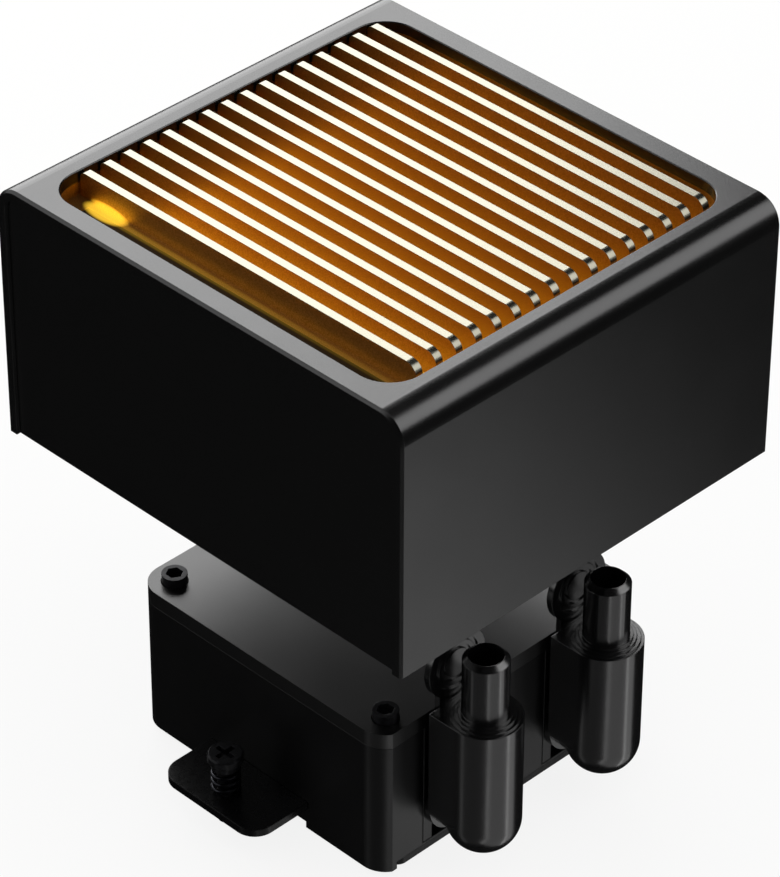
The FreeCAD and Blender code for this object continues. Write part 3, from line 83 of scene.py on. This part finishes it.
def linear(hex_colour):
    channels = [int(hex_colour[start:start + 2], 16) / 255 for start in (1, 3, 5)]
    straight_end, straight_slope = 0.04045, 12.92
    light = [c / straight_slope if c <= straight_end else ((c + 0.055) / 1.055) ** 2.4
             for c in channels]
    return (*light, 1.0)


def add_node(tree, kind, values=None, links=None, **settings):
    node = tree.nodes.new("ShaderNode" + kind)
    for name, value in settings.items():
        setattr(node, name, value)
    for socket, value in (values or {}).items():
        node.inputs[socket].default_value = value
    for socket, source in (links or {}).items():
        tree.links.new(source, node.inputs[socket])
    return node


print("middle grey is", round(linear("#808080")[0], 3), "in linear light")

# %% [markdown]
# ## The floor
# The head stands on a plain white floor that runs out of the picture. To the camera it is mostly
# white by its own colour, and the rest of its brightness is the light that falls on it, so it
# still takes the soft shadow of the object. A black glossy thing looks black only where it
# mirrors something dark, so the floor leaves the gloss alone, and it lets the light from below
# through.

# %% The floor
floor_reach = 3000.0 * MM
floor_drop = 0.05 * MM
own_white = 0.86


def make_floor():
    shape = bmesh.new()
    bmesh.ops.create_grid(shape, x_segments=1, y_segments=1, size=floor_reach)
    bmesh.ops.translate(shape, vec=(0.0, 0.0, -floor_drop), verts=shape.verts)
    mesh = bpy.data.meshes.new("floor")
    shape.to_mesh(mesh)
    shape.free()
    floor = bpy.data.objects.new("floor", mesh)
    scene.collection.objects.link(floor)
    floor.visible_glossy = False
    floor.visible_shadow = False
    return floor


def white_floor():
    material = bpy.data.materials.new("white_studio_floor")
    material.use_nodes = True
    tree = material.node_tree
    tree.nodes.clear()
    lit = add_node(tree, "BsdfDiffuse", {"Color": linear("#f4f4f2")})
    white = add_node(tree, "Emission", {"Color": linear("#ffffff"), "Strength": 1.0})
    ray = add_node(tree, "LightPath")
    seen = add_node(tree, "Math", {1: own_white}, {0: ray.outputs["Is Camera Ray"]},
                    operation="MULTIPLY")
    to_camera = add_node(tree, "MixShader", None,
                         {0: seen.outputs[0], 1: lit.outputs[0], 2: white.outputs[0]})
    add_node(tree, "OutputMaterial", None, {"Surface": to_camera.outputs[0]})
    return material


floor = make_floor()
floor.data.materials.append(white_floor())
print("floor:", floor_reach * 2, "m square, just under the contact face")

# %% [markdown]
# ## The light
# A glossy black thing shows its shape by soft lights in its gloss, with dark gaps between them.
# One softbox stands low behind its left shoulder: from the camera it mirrors in the cap's top
# and in the cut edges of the grille, and its upper right corner makes the top fade towards the
# right. A second one behind the right shoulder lays a grey band along the cap's bend. The third
# shines up from the right like a glowing table. It greys the right-hand faces, and two bright
# strips, which stand a little nearer so that the gloss sees them first, draw the paired
# highlights down the elbows. A faint table in front, with one strip, shows the elbows' left
# sides. The last three lights show the object to somebody who walks round it: one on the left,
# one low on the right and one overhead. The rest of the world is dark in the gloss, white to the
# camera, and an even fill to the shading.
#
# Each lamp is placed by the azimuth and the elevation at which it stands round the point that
# the camera looks at. Its width and height are angles from there too, all in degrees.

# %% A softbox
studio_radius = 900.0 * MM


def softbox(name, at, spans, brightness, aside=0.0, nearer=0.0):
    azimuth, elevation = [math.radians(angle) for angle in at]
    data = bpy.data.lights.new(name, "AREA")
    data.shape = "RECTANGLE"
    data.size, data.size_y = [2 * studio_radius * math.tan(math.radians(span) / 2)
                              for span in spans]
    data.energy = brightness * math.pi * data.size * data.size_y
    lamp = bpy.data.objects.new(name, data)
    scene.collection.objects.link(lamp)
    flat = math.cos(elevation)
    way = Vector((math.cos(azimuth) * flat, math.sin(azimuth) * flat, math.sin(elevation)))
    aim = Matrix.Translation(view_aim + way * studio_radius)
    aim = aim @ way.to_track_quat("Z", "Y").to_matrix().to_4x4()
    shift = Vector((studio_radius * math.tan(math.radians(aside)), 0.0, -nearer))
    lamp.matrix_world = aim @ Matrix.Translation(shift)
    lamp.visible_camera = False


print("softboxes at", studio_radius, "m from the point that the camera looks at")

# %% The world
world_fill = 0.6
world_gloss = 0.012


def white_world():
    world = bpy.data.worlds.new("world")
    scene.world = world
    world.use_nodes = True
    tree = world.node_tree
    tree.nodes.clear()
    ray = add_node(tree, "LightPath")
    fill = add_node(tree, "MapRange", {"To Min": world_fill, "To Max": 1.0},
                    {"Value": ray.outputs["Is Camera Ray"]})
    strength = add_node(tree, "MapRange", {"To Max": world_gloss},
                        {"Value": ray.outputs["Is Glossy Ray"], "To Min": fill.outputs["Result"]})
    sky = add_node(tree, "Background", {"Color": linear("#ffffff")},
                   {"Strength": strength.outputs["Result"]})
    add_node(tree, "OutputWorld", None, {"Surface": sky.outputs[0]})


white_world()
scene.view_settings.view_transform = "Standard"
print("the world is white to the camera and", world_gloss, "in the gloss")

# %% The lamps
key_light = 2.5
band_light = 1.2
table_light = 0.26
front_light = 0.04
left_light = 0.5
low_light = 0.22
overhead_light = 0.8
strip_stand = 12.0 * MM
table = (6.0, -52.0)
softbox("key_softbox", at=(153.2, 23.5), spans=(43.0, 46.0), brightness=key_light)
softbox("band_softbox", at=(44.0, 36.0), spans=(44.0, 34.0), brightness=band_light)
softbox("table_glow", at=table, spans=(63.6, 36.0), brightness=table_light)
softbox("table_right_half", at=table, spans=(19.0, 36.0), brightness=0.8 * table_light,
        aside=22.3, nearer=strip_stand)
softbox("table_right_strip", at=table, spans=(4.5, 36.0), brightness=3.4 * table_light,
        aside=13.5, nearer=2 * strip_stand)
softbox("table_left_strip", at=table, spans=(5.5, 36.0), brightness=1.9 * table_light,
        aside=-28.8, nearer=2 * strip_stand)
softbox("front_glow", at=(-78.0, -46.0), spans=(52.0, 36.0), brightness=front_light)
softbox("front_strip", at=(-112.0, -46.0), spans=(7.0, 36.0), brightness=3.6 * front_light)
softbox("left_softbox", at=(222.0, 22.0), spans=(70.0, 46.0), brightness=left_light)
softbox("right_low_glow", at=(-8.0, -18.0), spans=(50.0, 24.0), brightness=low_light)
softbox("overhead_softbox", at=(0.0, 88.0), spans=(30.0, 30.0), brightness=overhead_light)
print("lamps:", len(bpy.data.lights))

# %% [markdown]
# ## The start of every finish
# Each finish is one principled surface. What is the same all over it, such as how metallic it
# is, is set on the shader itself. Every finish is kept by its name, so that the solids can be
# dressed in one go at the end.

# %% The start of a finish
finishes = {}


def finish(name, colour, roughness, metallic=0.0, specular=0.5, ior=1.5):
    material = bpy.data.materials.new(name)
    material.use_nodes = True
    tree = material.node_tree
    shader = tree.nodes["Principled BSDF"]
    shader.inputs["Base Color"].default_value = linear(colour)
    shader.inputs["Roughness"].default_value = roughness
    shader.inputs["Metallic"].default_value = metallic
    shader.inputs["Specular IOR Level"].default_value = specular
    shader.inputs["IOR"].default_value = ior
    finishes[name] = material
    return tree, shader


print("finishes start with the default index of refraction, 1.5")

# %% [markdown]
# ## Patterns, and what they change
# What varies over a piece comes from a pattern that reads the piece's own place: `grain` is a
# soft noise of a real size, and `striped` gives even lines of a real spacing. A pattern is then
# laid into the colour as two tones, into the roughness as smooth and dull, or into the surface
# as a relief. The relief also rounds sharp edges a little, because a real edge draws a thin
# highlight.

# %% Patterns


def grain(tree, size):
    place = add_node(tree, "TexCoord").outputs["Object"]
    return add_node(tree, "TexNoise", {"Scale": 1.0 / size}, {"Vector": place}).outputs["Fac"]


def striped(tree, axis, spacing):
    place = add_node(tree, "TexCoord").outputs["Object"]
    along = add_node(tree, "SeparateXYZ", None, {"Vector": place}).outputs[axis]
    phase = add_node(tree, "Math", {1: 2 * math.pi / spacing}, {0: along}, operation="MULTIPLY")
    return add_node(tree, "Math", None, {0: phase.outputs[0]}, operation="SINE").outputs[0]


print("patterns: grain and striped")

# %% What a pattern changes
noise_span = (0.3, 0.7)
wide_noise_span = (0.2, 0.8)
wave_span = (-1.0, 1.0)
edge_samples = 4


def ramp(span, low, high):
    return {"From Min": span[0], "From Max": span[1], "To Min": low, "To Max": high}


def two_tones(tree, shader, pattern, low_tone, high_tone, span=noise_span):
    share = add_node(tree, "MapRange", ramp(span, 0.0, 1.0), {"Value": pattern},
                     interpolation_type="SMOOTHSTEP").outputs["Result"]
    colour = add_node(tree, "Mix", {6: linear(low_tone), 7: linear(high_tone)}, {0: share},
                      data_type="RGBA").outputs[2]
    tree.links.new(colour, shader.inputs["Base Color"])
    return colour


def smooth_and_dull(tree, shader, pattern, smooth, dull, span=noise_span):
    roughness = add_node(tree, "MapRange", ramp(span, smooth, dull), {"Value": pattern},
                         interpolation_type="SMOOTHSTEP").outputs["Result"]
    tree.links.new(roughness, shader.inputs["Roughness"])
    return roughness


def relief(tree, shader, pattern, depth, edge=0.0):
    links = {"Height": pattern}
    if edge:
        rounded = add_node(tree, "Bevel", {"Radius": edge}, samples=edge_samples)
        links["Normal"] = rounded.outputs["Normal"]
    bump = add_node(tree, "Bump", {"Strength": 1.0, "Distance": depth}, links)
    tree.links.new(bump.outputs["Normal"], shader.inputs["Normal"])


print("a pattern can change the colour, the roughness and the relief")

# %% [markdown]
# ## Black anodised sheet
# The cap is aluminium sheet, bead-blasted and anodised black. Blasting leaves a fine matt grain
# that spreads the softbox into a broad grey sheen. The dyed oxide is nearly black, and as a
# dense, hard skin it mirrors more than plastic does, which its index of refraction says. The
# block's lid is blasted with coarser beads than the cap, so everything below the lid's top is
# duller.

# %% Black anodised sheet
blast_pit = 0.16 * MM
blast_depth = 0.004 * MM
handled_patch = 14.0 * MM
sheet_edge = 0.12 * MM
lid_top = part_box("housing_lid")[1].z
lid_duller = 0.09


def black_anodised():
    tree, shader = finish("black_anodised", "#060606", 0.25, specular=0.9, ior=1.7)
    cap_gloss = smooth_and_dull(tree, shader, grain(tree, handled_patch), smooth=0.235, dull=0.265,
                                span=wide_noise_span)
    place = add_node(tree, "TexCoord").outputs["Object"]
    height = add_node(tree, "SeparateXYZ", None, {"Vector": place}).outputs["Z"]
    on_lid = add_node(tree, "Math", {1: lid_top + sheet_edge}, {0: height}, operation="LESS_THAN")
    gloss = add_node(tree, "Math", {1: lid_duller}, {0: on_lid.outputs[0], 2: cap_gloss},
                     operation="MULTIPLY_ADD")
    tree.links.new(gloss.outputs[0], shader.inputs["Roughness"])
    relief(tree, shader, grain(tree, blast_pit), blast_depth, edge=sheet_edge)


black_anodised()
print("made black_anodised")

# %% [markdown]
# ## The painted amber glow
# The amber under the grille is painted light: the tray's floor between the blades is given an
# amber emission by place, which stands in for light chips under the grille shining up past the
# blades. Each glow is a strength that depends on the place, and where glows meet, they are
# multiplied or the brighter one wins. The painted glow on the tray's floor is strongest at the
# front left.

# %% The painted glow of the row
# The colour of the painted amber glow, on the grille and on the diffuser.
painted_glow_amber = "#ffca38"
row_start = -29.8 * MM
row_peak = 0.68
row_left = ramp((-31.0 * MM, -22.5 * MM), 0.15 * row_peak, row_peak)
row_rightwards = ramp((-22.0 * MM, 31.0 * MM), 1.0, 0.6)
row_backwards = ramp((-29.5 * MM, 36.0 * MM), 1.0, 0.25)


def joined(tree, operation, *values):
    total = values[0]
    for value in values[1:]:
        total = add_node(tree, "Math", None, {0: total, 1: value}, operation=operation).outputs[0]
    return total


# The row's glow is painted light: an amber emission laid on the tray's floor by place.
def painted_row_glow(tree):
    place = add_node(tree, "TexCoord").outputs["Object"]
    x, y, _ = add_node(tree, "SeparateXYZ", None, {"Vector": place}).outputs
    in_row = add_node(tree, "Math", {1: row_start}, {0: y}, operation="GREATER_THAN")
    left = add_node(tree, "MapRange", row_left, {"Value": x}, interpolation_type="SMOOTHSTEP")
    rightwards = add_node(tree, "MapRange", row_rightwards, {"Value": x})
    backwards = add_node(tree, "MapRange", row_backwards, {"Value": y})
    return joined(tree, "MULTIPLY", in_row.outputs[0], left.outputs["Result"],
                  rightwards.outputs["Result"], backwards.outputs["Result"])


print("the row's glow starts at", round(row_start / MM, 1), "mm, behind the first blade's foot")

# %% [markdown]
# ## The painted oval in front, and its line
# In front of the first blade a bright oval of amber is painted on as emission, and its painted
# light runs on along the foot of the blade as a thin line that gets weaker to the right. The line
# is an oval too, so long that its ends never count.

# %% The painted oval in front, and its line
painted_oval_middle = Vector((-32.0, -32.0, 105.6)) * MM
painted_oval_reach = Vector((5.4, 2.2, 1.5)) * MM
painted_oval_peak = 0.9
painted_oval_core = 0.35
line_middle = Vector((0.0, -32.5, 0.0)) * MM
line_reach = Vector((1.0e6, 1.0, 1.0e6)) * MM
line_left = ramp((-31.0 * MM, -27.0 * MM), 0.0, 1.0)
line_rightwards = ramp((-28.0 * MM, 34.0 * MM), 0.13, 0.04)


def oval_glow(tree, middle, reach, peak, core):
    place = add_node(tree, "TexCoord").outputs["Object"]
    away = add_node(tree, "VectorMath", {1: middle}, {0: place}, operation="SUBTRACT").outputs[0]
    share = add_node(tree, "VectorMath", {1: reach}, {0: away}, operation="DIVIDE").outputs[0]
    square = add_node(tree, "VectorMath", None, {0: share, 1: share}, operation="DOT_PRODUCT")
    glow = add_node(tree, "MapRange", ramp((core, 1.0), peak, 0.0),
                    {"Value": square.outputs["Value"]}, interpolation_type="SMOOTHSTEP")
    return glow.outputs["Result"]


# The oval is painted glow, placed by position in front of the first blade.
def painted_oval_glow(tree):
    return oval_glow(tree, painted_oval_middle, painted_oval_reach, painted_oval_peak, painted_oval_core)


# The line is painted glow along the foot of the first blade.
def painted_line_glow(tree):
    place = add_node(tree, "TexCoord").outputs["Object"]
    x = add_node(tree, "SeparateXYZ", None, {"Vector": place}).outputs["X"]
    left = add_node(tree, "MapRange", line_left, {"Value": x}, interpolation_type="SMOOTHSTEP")
    rightwards = add_node(tree, "MapRange", line_rightwards, {"Value": x})
    return joined(tree, "MULTIPLY", oval_glow(tree, line_middle, line_reach, peak=1.0, core=0.0),
                  left.outputs["Result"], rightwards.outputs["Result"])


# The oval that this print measures is the painted oval of glow.
print("the chip's oval is", round(2 * painted_oval_reach.x / MM, 1), "mm wide")

# %% [markdown]
# ## Gold anodised grille
# The grille is milled from one block of aluminium, bead-blasted and anodised gold, and then the
# narrow edge of every blade, its top and its rounded ends, is cut once more with a diamond tool.
# The blasted flanks are satin gold, and deepen to orange where they mirror each other. The fresh
# cut is pale and smoother. It is told apart by its height and by not facing along the row, so
# one material has both. The tray's floor takes the painted glow of the row and of the line, an
# amber emission painted onto the metal.

# %% Gold anodised grille
grille_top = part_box("fin_grille")[1].z
cut_depth = 2.3 * MM
flank_turn = 0.6
blade_height = 4.6 * MM
floor_film = 0.1 * MM
satin, cut_satin = 0.45, 0.24


def cut_edges(tree, height, normal):
    facing = add_node(tree, "SeparateXYZ", None, {"Vector": normal}).outputs["Y"]
    along = add_node(tree, "Math", None, {0: facing}, operation="ABSOLUTE").outputs[0]
    high = add_node(tree, "Math", {1: grille_top - cut_depth}, {0: height},
                    operation="GREATER_THAN")
    edge = add_node(tree, "Math", {1: flank_turn}, {0: along}, operation="LESS_THAN")
    return joined(tree, "MULTIPLY", high.outputs[0], edge.outputs[0])


# The tray's floor below the blades' feet takes the painted glow of the row and of the line.
def painted_tray_glow(tree, height):
    floor_top = grille_top - blade_height + floor_film
    low = add_node(tree, "Math", {1: floor_top}, {0: height}, operation="LESS_THAN").outputs[0]
    either = joined(tree, "MAXIMUM", painted_row_glow(tree), painted_line_glow(tree))
    return joined(tree, "MULTIPLY", low, either)


def gold_anodised():
    tree, shader = finish("gold_anodised", "#dcaa5a", satin, metallic=1.0)
    own = add_node(tree, "TexCoord").outputs
    height = add_node(tree, "SeparateXYZ", None, {"Vector": own["Object"]}).outputs["Z"]
    cut = cut_edges(tree, height, own["Normal"])
    blasted = grain(tree, blast_pit)
    flank = two_tones(tree, shader, blasted, "#c8954a", "#ecc27a")
    colour = add_node(tree, "Mix", {7: linear("#bab7a6")}, {0: cut, 6: flank}, data_type="RGBA")
    tree.links.new(colour.outputs[2], shader.inputs["Base Color"])
    gloss = add_node(tree, "MapRange", {"To Min": satin, "To Max": cut_satin}, {"Value": cut})
    tree.links.new(gloss.outputs["Result"], shader.inputs["Roughness"])
    relief(tree, shader, blasted, blast_depth, edge=0.06 * MM)
    # The amber emission on the gold is painted light: the metal floor glows though it is no lamp.
    shader.inputs["Emission Color"].default_value = linear(painted_glow_amber)
    tree.links.new(joined(tree, "MAXIMUM", painted_tray_glow(tree, height), painted_oval_glow(tree)),
                   shader.inputs["Emission Strength"])


gold_anodised()
print("cut edges above", round((grille_top - cut_depth) / MM, 2), "mm")

# %% [markdown]
# ## Amber diffuser
# A plate of acrylic lies under the tray, and two bars of it stand up into the tray's light
# slots. It is tinted deep amber, so that it looks dark brown and glossy outside the painted oval
# and line of glow, which are emission laid on by place.

# %% Amber diffuser
diffuser_grain = 0.5 * MM


def amber_diffuser():
    tree, shader = finish("amber_diffuser", "#1a0c03", 0.3)
    # The diffuser's glow is painted light: the same oval and line, placed by position.
    shader.inputs["Emission Color"].default_value = linear(painted_glow_amber)
    tree.links.new(joined(tree, "MAXIMUM", painted_line_glow(tree), painted_oval_glow(tree)),
                   shader.inputs["Emission Strength"])
    relief(tree, shader, grain(tree, diffuser_grain), depth=0.004 * MM)


amber_diffuser()
print("made amber_diffuser")

# %% [markdown]
# ## Moulded black plastic
# The pump block, the port retainers and the carrier are glass-filled nylon. The mould was spark
# eroded, so the faces carry a fine even texture and a soft sheen, and the flow of the melt
# leaves faint duller and shinier patches.

# %% Moulded black plastic
spark_grain = 0.22 * MM
flow_patch = 9.0 * MM


def black_plastic():
    tree, shader = finish("black_plastic", "#070708", 0.3, specular=0.8)
    smooth_and_dull(tree, shader, grain(tree, flow_patch), smooth=0.28, dull=0.33)
    relief(tree, shader, grain(tree, spark_grain), depth=0.006 * MM, edge=0.3 * MM)


black_plastic()
print("made black_plastic")

# %% [markdown]
# ## Black coated elbows
# The elbows are turned and cast brass with a hard satin black coat, dense and smooth enough to
# draw long soft highlights down their barrels. Turning leaves very fine rings round the upright
# axis.

# %% Black coated elbows
turned_ring = 0.25 * MM
coat_patch = 6.0 * MM


def black_coated_elbow():
    tree, shader = finish("black_coated_elbow", "#070708", 0.22, specular=1.0, ior=1.8)
    smooth_and_dull(tree, shader, grain(tree, coat_patch), smooth=0.2, dull=0.24,
                    span=wide_noise_span)
    relief(tree, shader, striped(tree, "Z", turned_ring), depth=0.0006 * MM, edge=0.15 * MM)


black_coated_elbow()
print("made black_coated_elbow")

# %% [markdown]
# ## Steel, screws and springs
# The base plate and the tabs are pressed steel with a black powder coat, whose skin is slightly
# orange-peeled. The screws are black oxide over steel, smoother and a little metallic. The
# springs are bare drawn wire.

# %% Steel, screws and springs
peel = 1.1 * MM
worn_patch = 0.6 * MM
draw_mark = 0.12 * MM


def black_steel():
    tree, shader = finish("black_steel", "#060607", 0.28, specular=0.35)
    peeled = grain(tree, peel)
    smooth_and_dull(tree, shader, peeled, smooth=0.25, dull=0.31)
    relief(tree, shader, peeled, depth=0.02 * MM, edge=0.3 * MM)


def black_screw():
    tree, shader = finish("black_screw", "#1a1a1c", 0.3, metallic=0.6)
    two_tones(tree, shader, grain(tree, worn_patch), "#131314", "#232326")
    relief(tree, shader, grain(tree, draw_mark), depth=0.002 * MM, edge=0.12 * MM)


def spring_steel():
    tree, shader = finish("spring_steel", "#3c3d40", 0.28, metallic=1.0)
    drawn = grain(tree, draw_mark)
    two_tones(tree, shader, drawn, "#303135", "#4a4b50")
    relief(tree, shader, drawn, depth=0.003 * MM)


black_steel()
black_screw()
spring_steel()
print("made black_steel, black_screw and spring_steel")

# %% [markdown]
# ## Copper cold plate
# The face that touches the processor is milled copper: parallel, slightly bowed tool lines on a
# warm bright metal that has begun to tarnish in patches. The real lines are about a third of a
# millimetre apart. That is too fine to show, so they are drawn nine times coarser.

# %% Copper cold plate
shown_tool_line = 3.11 * MM
radians_in_one_unit = 10.0 * math.sqrt(2.0)
bowed = 0.4
tarnish = 5.0 * MM


def copper():
    tree, shader = finish("copper", "#c26f4a", 0.26, metallic=1.0)
    tarnished = grain(tree, tarnish)
    two_tones(tree, shader, tarnished, "#b9633f", "#d08a63")
    smooth_and_dull(tree, shader, tarnished, smooth=0.22, dull=0.33)
    place = add_node(tree, "TexCoord").outputs["Object"]
    scale = 2 * math.pi / (radians_in_one_unit * shown_tool_line)
    lines = add_node(tree, "TexWave", {"Scale": scale, "Distortion": bowed}, {"Vector": place},
                     bands_direction="DIAGONAL")
    relief(tree, shader, lines.outputs["Fac"], depth=0.003 * MM, edge=0.15 * MM)


copper()
print("made copper")

# %% [markdown]
# ## Boards, chips and magnets
# The circuit boards are glass cloth in epoxy under a black solder mask, which shows the weave of
# the cloth as a faint relief. The light chips are yellow phosphor in a pale resin. The docking
# magnets are nickel plated, and the rotor's ring is plain grey ferrite, sintered and slightly
# speckled.

# %% Boards, chips and magnets
cloth_thread = 0.45 * MM
phosphor_speck = 0.15 * MM
chip_light = 4.0
plating_patch = 1.5 * MM
ferrite_speck = 0.4 * MM


def circuit_board():
    tree, shader = finish("circuit_board", "#0b120e", 0.35)
    cloth = joined(tree, "MULTIPLY", striped(tree, "X", cloth_thread),
                   striped(tree, "Y", cloth_thread))
    two_tones(tree, shader, cloth, "#0a0f0c", "#101a14", span=wave_span)
    relief(tree, shader, cloth, depth=0.004 * MM)


def light_chip():
    tree, shader = finish("light_chip", "#f2d27a", 0.35)
    two_tones(tree, shader, grain(tree, phosphor_speck), "#eec65f", "#f7de96")
    shader.inputs["Emission Color"].default_value = linear("#ffc040")
    shader.inputs["Emission Strength"].default_value = chip_light


def magnet():
    tree, shader = finish("magnet", "#b9b6ad", 0.2, metallic=1.0)
    smooth_and_dull(tree, shader, grain(tree, plating_patch), smooth=0.16, dull=0.26)
    relief(tree, shader, grain(tree, draw_mark), depth=0.002 * MM, edge=0.1 * MM)


def ferrite():
    tree, shader = finish("ferrite", "#2a2a2d", 0.55)
    sintered = grain(tree, ferrite_speck)
    two_tones(tree, shader, sintered, "#242427", "#37373b")
    relief(tree, shader, sintered, depth=0.01 * MM)


circuit_board()
light_chip()
magnet()
ferrite()
print("made circuit_board, light_chip, magnet and ferrite")

# %% [markdown]
# ## Rubber, ceramic, iron and wire
# The seals are matt black rubber. The shaft and its washers are white alumina, ground and
# glossy. The stator is a stack of punched iron sheets, half a millimetre each, so its sides are
# striped, and each tooth is wound with enamelled copper wire laid turn beside turn. The wire's
# colour is painted shade and highlight: darker in the groove between turns and lighter on each
# turn's crest.

# %% Rubber, ceramic, iron and wire
rubber_patch = 0.8 * MM
rubber_grain = 0.2 * MM
ceramic_tone = 0.7 * MM
iron_sheet = 0.5 * MM
wire_gauge = 0.35 * MM
enamel = 0.6


def rubber():
    tree, shader = finish("rubber", "#121212", 0.65, specular=0.35)
    smooth_and_dull(tree, shader, grain(tree, rubber_patch), smooth=0.58, dull=0.72)
    relief(tree, shader, grain(tree, rubber_grain), depth=0.008 * MM)


def ceramic():
    tree, shader = finish("ceramic", "#e9e6dd", 0.18)
    two_tones(tree, shader, grain(tree, ceramic_tone), "#e4e0d5", "#efece4")
    relief(tree, shader, striped(tree, "Z", turned_ring), depth=0.0004 * MM)


def iron_stack():
    tree, shader = finish("iron_stack", "#6e6f72", 0.4, metallic=1.0)
    sheets = striped(tree, "Z", iron_sheet)
    two_tones(tree, shader, sheets, "#3b3b3e", "#7c7d80", span=(-1.0, 0.0))
    relief(tree, shader, sheets, depth=0.02 * MM)


def copper_wire():
    tree, shader = finish("copper_wire", "#a8502a", 0.25, metallic=1.0)
    shader.inputs["Coat Weight"].default_value = enamel
    turn_relief_and_painted_shade = striped(tree, "Z", wire_gauge)
    # Painted shade and highlight: darker between turns, lighter on each turn's crest.
    two_tones(tree, shader, turn_relief_and_painted_shade, "#7e3519", "#c4663a", span=wave_span)
    relief(tree, shader, turn_relief_and_painted_shade, depth=0.08 * MM)


rubber()
ceramic()
iron_stack()
copper_wire()
print("made rubber, ceramic, iron_stack and copper_wire")

# %% [markdown]
# ## Every solid gets its finish
# The record says which material slot each solid has, and each finish has its slot's name, so one
# loop dresses them all.

# %% Dress the solids
for subpart in frame["record"]["subparts"]:
    solid = nodes[subpart["node"]]
    solid.data.materials.clear()
    solid.data.materials.append(finishes[subpart["material_slot"]])
